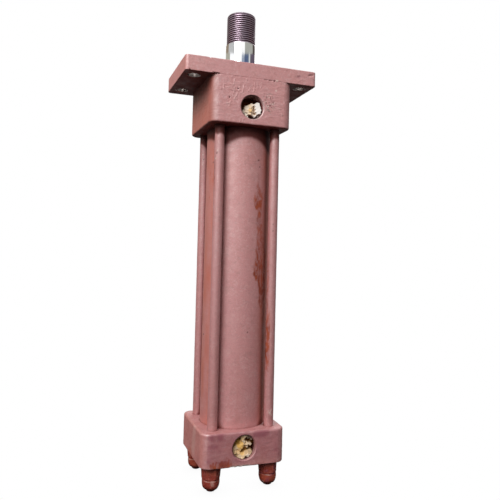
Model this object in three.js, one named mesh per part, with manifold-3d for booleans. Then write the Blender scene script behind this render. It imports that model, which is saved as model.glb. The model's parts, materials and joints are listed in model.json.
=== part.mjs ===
// A tie-rod hydraulic cylinder with a rectangular front flange: 63 mm bore, 36 mm rod, 300 mm stroke.
// Millimetres, +Z up along the rod. The origin is on the rod's axis, level with the lower ends of the
// tie rods, the port faces look along -Y, and the rod is drawn fully in.

import * as THREE from "three";
import { mergeVertices } from "three/addons/utils/BufferGeometryUtils.js";
import Module from "manifold-3d";

const wasm = await Module();
wasm.setup();

// ---------------------------------------------------------------- driving dimensions

const bore = 63;
const rodDiameter = 36;
const stroke = 300;
const pistonLength = 45;
const pistonTravelGap = 1.75; // between the piston and the tube's end at each end of the stroke
const registerDepth = 3; // how far the tube's seat is sunk into head and cap
const blockSide = 98; // the square head and cap
const blockCorner = 11; // radius of their upright corners
const flangeLength = 158;
const flangeThickness = 17;
const flangeCorner = 4;
const headHeight = 53.5;
const capHeight = 37.5;
const barrelOutside = 76;
const tieRodSpacing = 67; // tie rods stand at the corners of a square
const tieRodDiameter = 11.3;
const portDiameter = 26.4;
const portAboveHead = 20; // port axes above the lower faces of head and cap
const portAboveCap = 20;
const rodShowing = 36; // plain rod above the flange when drawn in
const threadLength = 37;
const threadDiameter = 34.6;

// ---------------------------------------------------------------- fits and fasteners

const slidingGap = 0.3; // radial, between parts that move on each other
const pistonGap = 0.45; // radial, between the piston's iron and the tube
const restingGap = 0.1; // radial, between parts that stay together
const tieRodTail = 5;
const lockNutHeight = 9;
const tieRodNutHeight = 14.5;
const tieRodNutFlats = 19;
const tieRodGrip = 22; // length of each tie rod screwed into the head
const endSealThickness = 1;
const chamberDiameter = 46; // oil space inside head and cap
const portDepth = 20;
const portChamfer = 1.3;
const oilwayDiameter = 12;
const oilwayEnd = 44; // from the front face to inside the oil chamber
const blindEnd = 0.5; // how far a blind hole runs past the end of its screw

// Facets round a circle: fine for all that turns about the rod's axis, coarse for fasteners.
const fine = 28;
const coarse = 16;

// ---------------------------------------------------------------- heights

const capBottom = tieRodTail + lockNutHeight + tieRodNutHeight;
const capTop = capBottom + capHeight;
const capRegisterFloor = capTop - registerDepth;
const headRegisterFloor = capRegisterFloor + stroke + pistonLength + 2 * pistonTravelGap;
const headBottom = headRegisterFloor - registerDepth;
const headTop = headBottom + headHeight;
const flangeTop = headTop + flangeThickness;
const plainRodTop = flangeTop + rodShowing;
const rodTop = plainRodTop + threadLength;
const headPortHeight = headBottom + portAboveHead;
const capPortHeight = capBottom + portAboveCap;
const tieRodCorner = tieRodSpacing / 2;
const corners = [
  { name: "front_left", x: -tieRodCorner, y: -tieRodCorner },
  { name: "front_right", x: tieRodCorner, y: -tieRodCorner },
  { name: "rear_left", x: -tieRodCorner, y: tieRodCorner },
  { name: "rear_right", x: tieRodCorner, y: tieRodCorner },
];

// Piston pack, with the piston at the cap end of its stroke.
const pistonBottom = capRegisterFloor + pistonTravelGap;
const pistonTop = pistonBottom + pistonLength;
const pistonDiameter = bore - 2 * pistonGap;
const spigotDiameter = 24;
const pistonNutHeight = 15;
const pistonNutFlats = 36;
const spigotTail = 3; // rod end below the piston nut
const spigotBottom = pistonBottom - pistonNutHeight - spigotTail;
const spigotClearance = 4; // from the rod end to the floor of the cap's chamber
const pistonSeal = { bottom: 18, height: 9, root: 52 }; // groove, measured from the piston's lower face
const pistonWearRing = { offset: 4, height: 9, root: 57.4 }; // grooves, measured from both faces
// The piston's static O-ring, in a groove of its bore.
const pistonRing = { below: 12, width: 2.4, depth: 1.9, section: 0.9 };

// Gland: bush, wiper and retainer plate, stacked above the head's oil chamber.
const bushDiameter = 50;
const bushBottom = headBottom + 31; // the bush rests on the rim of the oil chamber
const retainerThickness = 5;
const retainerDiameter = 72;
const retainerBore = 44;
const bushTop = flangeTop - retainerThickness;
const glandBore = rodDiameter + 0.8;
const sealBore = rodDiameter + 2 * slidingGap;
const glandWearRing = { bottom: bushBottom + 4, height: 10, root: 42 };
const rodSeal = { bottom: bushBottom + 17, height: 7, root: 45.6 };
const wiper = { height: 6, root: 46.4, lip: 43, proud: 1.5 };
const glandRing = { height: bushBottom + 9, section: 0.9, groove: 2 }; // static O-ring round the bush

// Fasteners of the flange and of the retainer plate.
const flangeHole = { diameter: 14, x: 65, y: 31 };
const flangeScrew = { thread: 10, head: 16, headHeight: 10, key: 8, grip: 20, counterbore: 17.5 };
const retainerScrew = { thread: 5, head: 10, length: 14, key: 3, circle: 30 };
const retainerSides = [
  { name: "right", x: retainerScrew.circle, y: 0 },
  { name: "rear", x: 0, y: retainerScrew.circle },
  { name: "left", x: -retainerScrew.circle, y: 0 },
  { name: "front", x: 0, y: -retainerScrew.circle },
];

// ---------------------------------------------------------------- solids

const materials = {
  primer: { color: 0x9c5f58, roughness: 0.7, metalness: 0.0 },
  nut: { color: 0x6e302c, roughness: 0.45, metalness: 0.1 },
  chrome: { color: 0xd8dade, roughness: 0.08, metalness: 1.0 },
  steel: { color: 0x8c8f93, roughness: 0.4, metalness: 0.9 },
  bronze: { color: 0xa9783c, roughness: 0.4, metalness: 0.9 },
  iron: { color: 0x55575a, roughness: 0.6, metalness: 0.7 },
  rubber: { color: 0x17181a, roughness: 0.7, metalness: 0.0 },
  urethane: { color: 0x2f5f8c, roughness: 0.5, metalness: 0.0 },
  filled: { color: 0x6a4a35, roughness: 0.6, metalness: 0.0 },
  paper: { color: 0xe6d9b4, roughness: 0.9, metalness: 0.0 },
};

const group = new THREE.Group();

function toSolid(geometry) {
  const bare = geometry.clone();
  bare.deleteAttribute("normal");
  bare.deleteAttribute("uv");
  const merged = mergeVertices(bare, 1e-4);
  const mesh = new wasm.Mesh({
    numProp: 3,
    vertProperties: merged.attributes.position.array,
    triVerts: new Uint32Array(merged.index.array),
  });
  return new wasm.Manifold(mesh);
}

function toGeometry(solid) {
  const mesh = solid.getMesh();
  const geometry = new THREE.BufferGeometry();
  geometry.setAttribute("position", new THREE.BufferAttribute(mesh.vertProperties, 3));
  geometry.setIndex(new THREE.BufferAttribute(mesh.triVerts, 1));
  geometry.computeVertexNormals();
  return geometry;
}

function place(name, geometry, finish, x = 0, y = 0, z = 0) {
  const mesh = new THREE.Mesh(geometry, new THREE.MeshStandardMaterial(materials[finish]));
  mesh.name = name;
  mesh.position.set(x, y, z);
  group.add(mesh);
}

// A body of revolution about +Z, from [radius, height] points that run up its outside.
function turned(profile, segments = fine) {
  const points = profile.map(([radius, height]) => new THREE.Vector2(radius, height));
  return new THREE.LatheGeometry(points, segments).rotateX(Math.PI / 2);
}

function ring(inside, outside, bottom, top, segments = fine) {
  const profile = [
    [inside / 2, bottom],
    [outside / 2, bottom],
    [outside / 2, top],
    [inside / 2, top],
    [inside / 2, bottom],
  ];
  return turned(profile, segments);
}

function disc(diameter, bottom, top, segments = fine) {
  const profile = [
    [0, bottom],
    [diameter / 2, bottom],
    [diameter / 2, top],
    [0, top],
  ];
  return turned(profile, segments);
}

function cone(lowDiameter, highDiameter, bottom, top, segments = fine) {
  const profile = [
    [0, bottom],
    [lowDiameter / 2, bottom],
    [highDiameter / 2, top],
    [0, top],
  ];
  return turned(profile, segments);
}

// An O-ring lying flat, with a six-sided section.
function oRing(meanDiameter, section, height) {
  const profile = [];
  for (let i = 0; i <= 6; i += 1) {
    const angle = (i * Math.PI) / 3;
    const radius = meanDiameter / 2 + section * Math.cos(angle);
    profile.push([radius, height + section * Math.sin(angle)]);
  }
  return turned(profile);
}

function hexagon(flats) {
  const shape = new THREE.Shape();
  for (let i = 0; i < 6; i += 1) {
    const angle = (i * Math.PI) / 3 + Math.PI / 6;
    const reach = flats / Math.sqrt(3);
    const move = i === 0 ? "moveTo" : "lineTo";
    shape[move](reach * Math.cos(angle), reach * Math.sin(angle));
  }
  shape.closePath();
  return shape;
}

function hexPrism(flats, bottom, top) {
  const settings = { depth: top - bottom, bevelEnabled: false };
  return new THREE.ExtrudeGeometry(hexagon(flats), settings).translate(0, 0, bottom);
}

// An upright block with rounded corners, centred on the rod's axis.
function block(length, width, corner, bottom, top) {
  const x = length / 2;
  const y = width / 2;
  const shape = new THREE.Shape();
  shape.moveTo(x, -y + corner);
  shape.lineTo(x, y - corner);
  shape.absarc(x - corner, y - corner, corner, 0, Math.PI / 2);
  shape.absarc(-x + corner, y - corner, corner, Math.PI / 2, Math.PI);
  shape.absarc(-x + corner, -y + corner, corner, Math.PI, 1.5 * Math.PI);
  shape.absarc(x - corner, -y + corner, corner, 1.5 * Math.PI, 2 * Math.PI);
  const settings = { depth: top - bottom, bevelEnabled: false, curveSegments: 6 };
  return new THREE.ExtrudeGeometry(shape, settings).translate(0, 0, bottom);
}

function cut(geometry, tools) {
  let solid = toSolid(geometry);
  for (const tool of tools) {
    solid = solid.subtract(toSolid(tool));
  }
  return toGeometry(solid);
}

const atCorners = (tool) => corners.map(({ x, y }) => tool.clone().translate(x, y, 0));

// A tool that cuts inwards from the front face: built upright from 0, then laid along +Y.
function fromFront(tool, height) {
  return tool.rotateX(-Math.PI / 2).translate(0, -blockSide / 2, height);
}

function portTools(height) {
  const mouth = portDiameter + 2 * portChamfer;
  return [
    fromFront(disc(portDiameter, -1, portDepth), height),
    fromFront(cone(mouth + 2, portDiameter, -1, portChamfer), height),
    fromFront(disc(oilwayDiameter, portDepth - 1, oilwayEnd, coarse), height),
  ];
}

// ---------------------------------------------------------------- casing

function headBlock() {
  const tieRodHole = tieRodDiameter + 2 * restingGap;
  const tieRodHoleTop = headBottom + tieRodGrip + blindEnd;
  const screwHole = flangeScrew.thread + 2 * restingGap;
  const screwHoleBottom = headTop - flangeScrew.grip - blindEnd;
  const tools = [
    disc(barrelOutside + 2 * restingGap, headBottom - 1, headRegisterFloor),
    disc(chamberDiameter, headBottom - 1, headTop + 1),
    disc(bushDiameter + 2 * restingGap, bushBottom, headTop + 1),
    ...portTools(headPortHeight),
    ...atCorners(disc(tieRodHole, headBottom - 1, tieRodHoleTop, coarse)),
    ...atCorners(disc(screwHole, screwHoleBottom, headTop + 1, coarse)),
  ];
  const body = block(blockSide, blockSide, blockCorner, headBottom, headTop);
  place("head_block", cut(body, tools), "primer");
}

function flangePlate() {
  const screw = flangeScrew;
  const counterboreFloor = flangeTop - screw.headHeight - blindEnd;
  const retainerHole = retainerScrew.thread + 2 * restingGap;
  const retainerHoleBottom = flangeTop - retainerScrew.length - blindEnd;
  const tools = [
    disc(bushDiameter + 2 * restingGap, headTop - 1, flangeTop + 1),
    disc(retainerDiameter + 2 * restingGap, bushTop, flangeTop + 1),
    ...atCorners(disc(screw.thread + 2 * restingGap, headTop - 1, flangeTop + 1, coarse)),
    ...atCorners(disc(screw.counterbore, counterboreFloor, flangeTop + 1, coarse)),
    ...aroundRetainer(disc(retainerHole, retainerHoleBottom, flangeTop, coarse)),
  ];
  const hole = disc(flangeHole.diameter, headTop - 1, flangeTop + 1);
  for (const x of [-flangeHole.x, flangeHole.x]) {
    for (const y of [-flangeHole.y, flangeHole.y]) {
      tools.push(hole.clone().translate(x, y, 0));
    }
  }
  const body = block(flangeLength, blockSide, flangeCorner, headTop, flangeTop);
  place("flange_plate", cut(body, tools), "primer");
}

function capBlock() {
  const tools = [
    disc(barrelOutside + 2 * restingGap, capRegisterFloor, capTop + 1),
    disc(chamberDiameter, spigotBottom - spigotClearance, capTop + 1),
    ...portTools(capPortHeight),
    ...atCorners(disc(tieRodDiameter + 2 * restingGap, capBottom - 1, capTop + 1, coarse)),
  ];
  const body = block(blockSide, blockSide, blockCorner, capBottom, capTop);
  place("cap_block", cut(body, tools), "primer");
}

function barrel() {
  const tubeBottom = capRegisterFloor + endSealThickness;
  const tubeTop = headRegisterFloor - endSealThickness;
  const tubeSeal = (bottom, top) => ring(bore + 2, barrelOutside, bottom, top);
  place("barrel_tube", ring(bore, barrelOutside, tubeBottom, tubeTop), "primer");
  place("barrel_end_seal_cap", tubeSeal(capRegisterFloor, tubeBottom), "rubber");
  place("barrel_end_seal_head", tubeSeal(tubeTop, headRegisterFloor), "rubber");
}

function tieRods() {
  const top = headBottom + tieRodGrip;
  const radius = tieRodDiameter / 2;
  const profile = [
    [0, 0],
    [radius - 1, 0],
    [radius, 1],
    [radius, top],
    [0, top],
  ];
  const rod = turned(profile, coarse);
  const nutBore = disc(tieRodDiameter + 2 * restingGap, -1, tieRodNutHeight + 1, coarse);
  const lockNut = cut(hexPrism(tieRodNutFlats, 0, lockNutHeight), [nutBore]);
  const nut = cut(hexPrism(tieRodNutFlats, 0, tieRodNutHeight), [nutBore]);
  for (const { name, x, y } of corners) {
    place(`tie_rod_${name}`, rod, "primer", x, y);
    place(`lock_nut_${name}`, lockNut, "nut", x, y, tieRodTail);
    place(`tie_rod_nut_${name}`, nut, "nut", x, y, tieRodTail + lockNutHeight);
  }
}

// A socket-head screw whose head sits above z = 0 and whose shank hangs below.
function socketScrew(thread, head, headHeight, key, length) {
  const profile = [
    [0, -length],
    [thread / 2, -length],
    [thread / 2, 0],
    [head / 2, 0],
    [head / 2, headHeight],
    [0, headHeight],
  ];
  return cut(turned(profile, coarse), [hexPrism(key, headHeight / 2, headHeight + 1)]);
}

// A countersunk screw whose head is flush with z = 0.
function countersunkScrew({ thread, head, length, key }) {
  const headHeight = (head - thread) / 2;
  const profile = [
    [0, -length],
    [thread / 2, -length],
    [thread / 2, -headHeight],
    [head / 2, 0],
    [0, 0],
  ];
  return cut(turned(profile, coarse), [hexPrism(key, -headHeight, 1)]);
}

function flangeScrews() {
  const { thread, head, headHeight, key, grip } = flangeScrew;
  const seat = flangeTop - headHeight - blindEnd;
  const screw = socketScrew(thread, head, headHeight, key, seat - headTop + grip);
  for (const { name, x, y } of corners) {
    place(`flange_screw_${name}`, screw, "nut", x, y, seat);
  }
}

// ---------------------------------------------------------------- gland

const aroundRetainer = (tool) => retainerSides.map(({ x, y }) => tool.clone().translate(x, y, 0));

function glandBush() {
  const inner = glandBore / 2;
  const outer = bushDiameter / 2;
  const wearTop = glandWearRing.bottom + glandWearRing.height;
  const sealTop = rodSeal.bottom + rodSeal.height;
  const recessFloor = bushTop - wiper.height;
  const ringRoot = outer - glandRing.groove;
  const ringBottom = glandRing.height - glandRing.groove / 2;
  const ringTop = glandRing.height + glandRing.groove / 2;
  const profile = [
    [inner, bushBottom],
    [outer, bushBottom],
    [outer, ringBottom],
    [ringRoot, ringBottom],
    [ringRoot, ringTop],
    [outer, ringTop],
    [outer, bushTop],
    [wiper.root / 2, bushTop],
    [wiper.root / 2, recessFloor],
    [inner, recessFloor],
    [inner, sealTop],
    [rodSeal.root / 2, sealTop],
    [rodSeal.root / 2, rodSeal.bottom],
    [inner, rodSeal.bottom],
    [inner, wearTop],
    [glandWearRing.root / 2, wearTop],
    [glandWearRing.root / 2, glandWearRing.bottom],
    [inner, glandWearRing.bottom],
    [inner, bushBottom],
  ];
  place("gland_bush", turned(profile), "bronze");
}

function glandSeals() {
  const inGroove = ({ root, bottom, height }) =>
    ring(sealBore, root - 2 * restingGap, bottom, bottom + height);
  place("rod_wear_ring", inGroove(glandWearRing), "filled");
  place("rod_seal", inGroove(rodSeal), "urethane");
  const wiperProfile = [
    [sealBore / 2, bushTop - wiper.height],
    [wiper.root / 2 - restingGap, bushTop - wiper.height],
    [wiper.root / 2 - restingGap, bushTop],
    [wiper.lip / 2, bushTop],
    [wiper.lip / 2, flangeTop],
    [sealBore / 2 + 1, flangeTop + wiper.proud],
    [sealBore / 2, flangeTop + wiper.proud],
    [sealBore / 2, bushTop - wiper.height],
  ];
  place("wiper_seal", turned(wiperProfile), "rubber");
  const ringDiameter = bushDiameter - glandRing.groove;
  place("gland_o_ring", oRing(ringDiameter, glandRing.section, glandRing.height), "rubber");
}

function retainerPlate() {
  const plate = ring(retainerBore, retainerDiameter, bushTop, flangeTop);
  const shank = retainerScrew.thread + 2 * restingGap;
  const head = retainerScrew.head + 2 * restingGap;
  const sinkFloor = flangeTop - (head - shank) / 2;
  const hole = disc(shank, bushTop - 1, flangeTop + 1, coarse);
  const countersink = cone(shank, head + 2, sinkFloor, flangeTop + 1, coarse);
  const drilled = cut(plate, [...aroundRetainer(hole), ...aroundRetainer(countersink)]);
  place("gland_retainer_plate", drilled, "steel");
  const screw = countersunkScrew(retainerScrew);
  for (const { name, x, y } of retainerSides) {
    place(`retainer_screw_${name}`, screw, "steel", x, y, flangeTop);
  }
}

// ---------------------------------------------------------------- rod and piston

function pistonRod() {
  const spigot = spigotDiameter / 2;
  const radius = rodDiameter / 2;
  const thread = threadDiameter / 2;
  const tip = 2.5; // chamfer on the thread's end
  const profile = [
    [0, spigotBottom],
    [spigot - 1, spigotBottom],
    [spigot, spigotBottom + 1],
    [spigot, pistonTop],
    [radius, pistonTop],
    [radius, plainRodTop - 1],
    [thread, plainRodTop],
    [thread, rodTop - tip],
    [thread - tip, rodTop],
    [0, rodTop],
  ];
  place("piston_rod", turned(profile), "chrome");
}

function piston() {
  const inner = spigotDiameter / 2 + restingGap;
  const outer = pistonDiameter / 2;
  const seal = pistonSeal.root / 2;
  const wear = pistonWearRing.root / 2;
  const { offset, height } = pistonWearRing;
  const sealBottom = pistonBottom + pistonSeal.bottom;
  const grooveRoot = inner + pistonRing.depth;
  const grooveBottom = pistonTop - pistonRing.below;
  const grooveTop = grooveBottom + pistonRing.width;
  const profile = [
    [inner, pistonBottom],
    [outer, pistonBottom],
    [outer, pistonBottom + offset],
    [wear, pistonBottom + offset],
    [wear, pistonBottom + offset + height],
    [outer, pistonBottom + offset + height],
    [outer, sealBottom],
    [seal, sealBottom],
    [seal, sealBottom + pistonSeal.height],
    [outer, sealBottom + pistonSeal.height],
    [outer, pistonTop - offset - height],
    [wear, pistonTop - offset - height],
    [wear, pistonTop - offset],
    [outer, pistonTop - offset],
    [outer, pistonTop],
    [inner, pistonTop],
    [inner, grooveTop],
    [grooveRoot, grooveTop],
    [grooveRoot, grooveBottom],
    [inner, grooveBottom],
    [inner, pistonBottom],
  ];
  place("piston", turned(profile), "iron");
  const ringDiameter = inner + grooveRoot;
  const ringHeight = (grooveBottom + grooveTop) / 2;
  place("piston_o_ring", oRing(ringDiameter, pistonRing.section, ringHeight), "rubber");
  const nutBore = disc(spigotDiameter + 2 * restingGap, -1, pistonNutHeight + 1);
  const nut = cut(hexPrism(pistonNutFlats, 0, pistonNutHeight), [nutBore]);
  place("piston_nut", nut, "steel", 0, 0, pistonBottom - pistonNutHeight);
}

// The rings in the piston's grooves: clear of the groove roots, so the piston can turn inside them.
function pistonRings() {
  const { offset, height } = pistonWearRing;
  const inGroove = (groove) =>
    ring(groove.root + 2 * slidingGap, bore - slidingGap, slidingGap, groove.height - slidingGap);
  const wearRing = inGroove(pistonWearRing);
  place("piston_wear_ring_lower", wearRing, "filled", 0, 0, pistonBottom + offset);
  place("piston_wear_ring_upper", wearRing, "filled", 0, 0, pistonTop - offset - height);
  place("piston_seal", inGroove(pistonSeal), "urethane", 0, 0, pistonBottom + pistonSeal.bottom);
}

// ---------------------------------------------------------------- paper wads that close the open ports

const wadSize = { diameter: portDiameter - 1.2, front: 2.5, back: 15 }; // depths from the port's face

function portWads() {
  const wad = (height) => fromFront(disc(wadSize.diameter, wadSize.front, wadSize.back), height);
  place("port_wad_upper", wad(headPortHeight), "paper");
  place("port_wad_lower", wad(capPortHeight), "paper");
}

headBlock();
flangePlate();
capBlock();
barrel();
tieRods();
flangeScrews();
glandBush();
glandSeals();
retainerPlate();
pistonRod();
piston();
pistonRings();
portWads();

export default group;
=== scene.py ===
"""Looks for a tie-rod hydraulic cylinder: primed casing with a flange, chromed rod, paper in its ports."""

import json
import math

import bpy
import numpy as np
from mathutils import Matrix, Vector

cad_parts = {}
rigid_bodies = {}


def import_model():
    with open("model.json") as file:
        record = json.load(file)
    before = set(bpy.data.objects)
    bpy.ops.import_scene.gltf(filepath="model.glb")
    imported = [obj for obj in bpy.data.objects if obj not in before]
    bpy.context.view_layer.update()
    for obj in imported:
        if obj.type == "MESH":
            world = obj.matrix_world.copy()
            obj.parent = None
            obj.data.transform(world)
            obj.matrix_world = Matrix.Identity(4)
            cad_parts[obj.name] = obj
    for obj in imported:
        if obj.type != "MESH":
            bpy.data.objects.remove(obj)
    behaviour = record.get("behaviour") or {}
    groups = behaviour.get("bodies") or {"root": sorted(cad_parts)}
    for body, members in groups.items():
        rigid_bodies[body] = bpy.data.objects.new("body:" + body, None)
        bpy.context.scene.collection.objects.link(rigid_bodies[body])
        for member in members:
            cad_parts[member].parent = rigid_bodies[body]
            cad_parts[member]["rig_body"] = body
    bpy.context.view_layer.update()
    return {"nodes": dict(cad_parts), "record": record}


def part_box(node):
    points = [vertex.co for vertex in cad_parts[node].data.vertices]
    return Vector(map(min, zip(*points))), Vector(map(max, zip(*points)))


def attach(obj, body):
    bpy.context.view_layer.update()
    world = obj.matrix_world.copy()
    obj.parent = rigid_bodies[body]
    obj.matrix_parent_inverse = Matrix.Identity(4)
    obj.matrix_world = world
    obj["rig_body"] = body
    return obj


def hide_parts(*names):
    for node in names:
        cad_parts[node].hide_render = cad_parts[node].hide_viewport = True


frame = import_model()

MM = 0.001
TURN = 2 * math.pi

# ---------------- sizes, from the frame

CORNERS = ("front_left", "front_right", "rear_left", "rear_right")
RETAINER_SIDES = ("right", "rear", "left", "front")
SLOTS = {part["node"]: part["material_slot"] for part in frame["record"]["subparts"]}


def centre_of(node):
    low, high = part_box(node)
    return (low + high) / 2


head_low, head_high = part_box("head_block")
cap_low, cap_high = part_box("cap_block")
flange_low, flange_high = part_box("flange_plate")
tube_low, tube_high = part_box("barrel_tube")
rod_low, rod_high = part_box("piston_rod")
bush_low, bush_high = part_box("gland_bush")
plate_low, plate_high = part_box("gland_retainer_plate")
tie_rod_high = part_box("tie_rod_front_left")[1]
screw_low, screw_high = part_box("flange_screw_front_left")
register_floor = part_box("barrel_end_seal_cap")[0].z
register_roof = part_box("barrel_end_seal_head")[1].z
cap_port = centre_of("port_wad_lower").z
head_port = centre_of("port_wad_upper").z

FRONT = head_low.y
BARREL = tube_high.x
ROD = rod_high.x
TIE_ROD = tie_rod_high.x - centre_of("tie_rod_front_left").x
SKIN = 0.4 * MM  # thickness left for lumps in the paint
GAP = 0.1 * MM
BLOCK_CORNER = 11 * MM
FLANGE_CORNER = 3.5 * MM
CHAMBER = 23 * MM
PORT = 13.2 * MM
PORT_MOUTH = 14.5 * MM
PORT_CHAMFER = 1.3 * MM
PORT_DEPTH = 20 * MM
PORT_PITCH = 1.81 * MM
OILWAY = 6 * MM
OILWAY_END = 44 * MM
BOLT_HOLE = 7 * MM
BOLT_PLACES = [(x * MM, y * MM) for x in (-65, 65) for y in (-31, 31)]
SCREW_HOLE = 5.1 * MM
SCREW_SEAT = screw_high.z - 10 * MM
COUNTERBORE = 8.75 * MM
SMALL_SCREW_HOLE = 2.6 * MM
ROD_THREAD = 37 * MM
THREAD_RADIUS = 17.3 * MM
THREAD_DEPTH = 1.05 * MM
THREAD_PITCH = 2.5 * MM
TIP = 3.4 * MM  # round at the rod's end
VIEW_AZIMUTH = math.radians(-19.525)
SEAM = head_high.z  # the joint of head and flange: marks on the front are placed from it
CAP_TOP = cap_high.z  # marks on the barrel and tie rods are placed from it

# ---------------- numbers on points

def noise(points, size, seed):
    """Smooth noise from -1 to 1 at each point. size is that of its lumps, or one size for each axis."""
    cell = np.asarray(points, float) / np.asarray(size, float) + 17.3 * seed
    low = np.floor(cell).astype(np.int64)
    share = cell - low
    share = share * share * (3 - 2 * share)
    total = np.zeros(len(cell))
    for corner in range(8):
        step = np.array([corner & 1, corner >> 1 & 1, corner >> 2 & 1])
        x, y, z = (low + step).T
        mixed = x * 374761393 + y * 668265263 + z * 2246822519 + seed * 3266489917
        mixed = (mixed ^ (mixed >> 13)) * 1274126177
        value = ((mixed ^ (mixed >> 16)) & 0xFFFF) / 32767.5 - 1
        total += value * np.prod(np.where(step, share, 1 - share), axis=1)
    return total


def grain(points, x, y, z, seed):
    """Noise with lumps of a different size along each axis, in millimetres."""
    return noise(points, (x * MM, y * MM, z * MM), seed)


def ramp(values, low, high):
    """0 below low, 1 above high, smooth between."""
    share = np.clip((np.asarray(values, float) - low) / (high - low), 0, 1)
    return share * share * (3 - 2 * share)


def band(values, centre, reach):
    """1 near centre, falling to 0 at reach from it."""
    return 1 - ramp(np.abs(values - centre), 0.3 * reach, reach)


def speckle(points, size, share, seed):
    return ramp(noise(points, size, seed) * 0.5 + 0.5, share, share + 0.15)


def strongest(*values):
    return np.maximum.reduce(values)


def spot(points, centre, radius):
    """1 at centre, falling to 0 at radius, which may be one number or one for each axis."""
    away = np.linalg.norm((points - np.array(centre)) / np.array(radius), axis=1)
    return 1 - ramp(away, 0.45, 1)


def stroke_on(points, start, end, width):
    """1 along the line from start to end, falling to 0 at width from it."""
    a, b = np.array(start, float), np.array(end, float)
    along = np.clip((points - a) @ (b - a) / ((b - a) @ (b - a)), 0, 1)
    away = np.linalg.norm(points - a - along[:, None] * (b - a), axis=1)
    return 1 - ramp(away, 0.3 * width, width)


def on_front(x, up, base=SEAM):
    """A place on the front face: x and the height over a base, in millimetres."""
    return (x * MM, FRONT, base + up * MM)


def mark(points, x, up, across, deep, tall, base=SEAM):
    """A round mark on the front face, from its place and its three radii in millimetres."""
    return spot(points, on_front(x, up, base), (across * MM, deep * MM, tall * MM))


def scratch(points, start, end, width, base=SEAM):
    """A line on the front face from one (x, height) to another, in millimetres."""
    return stroke_on(points, on_front(*start, base), on_front(*end, base), width * MM)


def in_front(points):
    """1 on the front face, 0 from 2 mm behind it."""
    return ramp(FRONT + 2 * MM - points[:, 1], 0, 1.2 * MM)


def bearing(points, centre=(0.0, 0.0)):
    """Angle in degrees round an upright axis: 0 faces the front, 90 faces +X."""
    return np.degrees(np.arctan2(points[:, 0] - centre[0], centre[1] - points[:, 1]))


def round_side(degrees, radius, height, centre=(0.0, 0.0)):
    """A place at a bearing on an upright cylinder, its height in millimetres over the cap."""
    turn = math.radians(degrees)
    return (centre[0] + radius * math.sin(turn), centre[1] - radius * math.cos(turn), CAP_TOP + height * MM)


# ---------------- meshes

def rows_between(first, last, count):
    """count rows from first towards last, without last."""
    return [first + (last - first) * i / count for i in range(count)]


def loft(rows, joined=False):
    """Points and faces of a skin over rows of points. joined closes the last row onto the first;
    otherwise each end row is closed to its middle."""
    rows = np.array(rows)
    count, around, _ = rows.shape
    points = rows.reshape(-1, 3)
    index = np.arange(count * around).reshape(count, around)
    beside = np.roll(index, -1, axis=1)
    quads = np.stack([index, beside, np.roll(beside, -1, axis=0), np.roll(index, -1, axis=0)], axis=-1)
    if joined:
        return points, quads.reshape(-1, 4).tolist()
    faces = quads[:-1].reshape(-1, 4).tolist()
    low, high = len(points), len(points) + 1
    points = np.vstack([points, rows[0].mean(axis=0), rows[-1].mean(axis=0)])
    faces += [(b, a, low) for a, b in zip(index[0].tolist(), beside[0].tolist())]
    faces += [(a, b, high) for a, b in zip(index[-1].tolist(), beside[-1].tolist())]
    return points, faces


def new_object(name, points, faces):
    mesh = bpy.data.meshes.new(name)
    mesh.from_pydata(np.asarray(points).tolist(), [], faces)
    mesh.update()
    obj = bpy.data.objects.new(name, mesh)
    bpy.context.scene.collection.objects.link(obj)
    return obj


def boolean(obj, tools, operation="DIFFERENCE"):
    """Cuts the closed tools out of obj, or joins them to it, and removes them."""
    for tool in tools:
        modifier = obj.modifiers.new("tool", "BOOLEAN")
        modifier.operation = operation
        modifier.solver = "MANIFOLD"
        modifier.object = tool
    graph = bpy.context.evaluated_depsgraph_get()
    mesh = bpy.data.meshes.new_from_object(obj.evaluated_get(graph), depsgraph=graph)
    obj.modifiers.clear()
    old, obj.data = obj.data, mesh
    mesh.name = obj.name
    for unused in [old] + [tool.data for tool in tools]:
        bpy.data.meshes.remove(unused)


def points_of(obj):
    points = np.zeros(len(obj.data.vertices) * 3)
    obj.data.vertices.foreach_get("co", points)
    return points.reshape(-1, 3)


def normals_of(obj):
    normals = np.zeros(len(obj.data.vertices) * 3)
    obj.data.vertex_normals.foreach_get("vector", normals)
    return normals.reshape(-1, 3)


def push(obj, offsets):
    """Moves each vertex along its normal by its offset."""
    moved = points_of(obj) + normals_of(obj) * offsets[:, None]
    obj.data.vertices.foreach_set("co", moved.ravel())
    obj.data.update()


def store(obj, **layers):
    """Keeps a value from 0 to 1 for each vertex under each name, for the material to read."""
    for name, values in layers.items():
        layer = obj.data.attributes.new(name, "FLOAT", "POINT")
        values = np.broadcast_to(values, len(obj.data.vertices))
        layer.data.foreach_set("value", np.clip(values, 0, 1).astype(np.float32))


def store_wear(obj, reach=2.5 * MM):
    """Keeps how far each vertex stands on a convex edge ("worn") or sits in a hollow ("hollow")."""
    points, normals = points_of(obj), normals_of(obj)
    ends = np.zeros(len(obj.data.edges) * 2, int)
    obj.data.edges.foreach_get("vertices", ends)
    a, b = ends.reshape(-1, 2).T
    along = points[b] - points[a]
    length = np.maximum(np.linalg.norm(along, axis=1), 1e-9)
    weight = np.where(length < reach, 1.0, 0.02)
    bend = np.zeros(len(points))
    total = np.full(len(points), 1e-9)
    for near, direction in ((a, along), (b, -along)):
        fall = -np.einsum("ij,ij->i", normals[near], direction) / length
        np.add.at(bend, near, fall * weight)
        np.add.at(total, near, weight)
    bend /= total
    store(obj, worn=ramp(bend, 0.05, 0.3), hollow=ramp(-bend, 0.05, 0.3))


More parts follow.
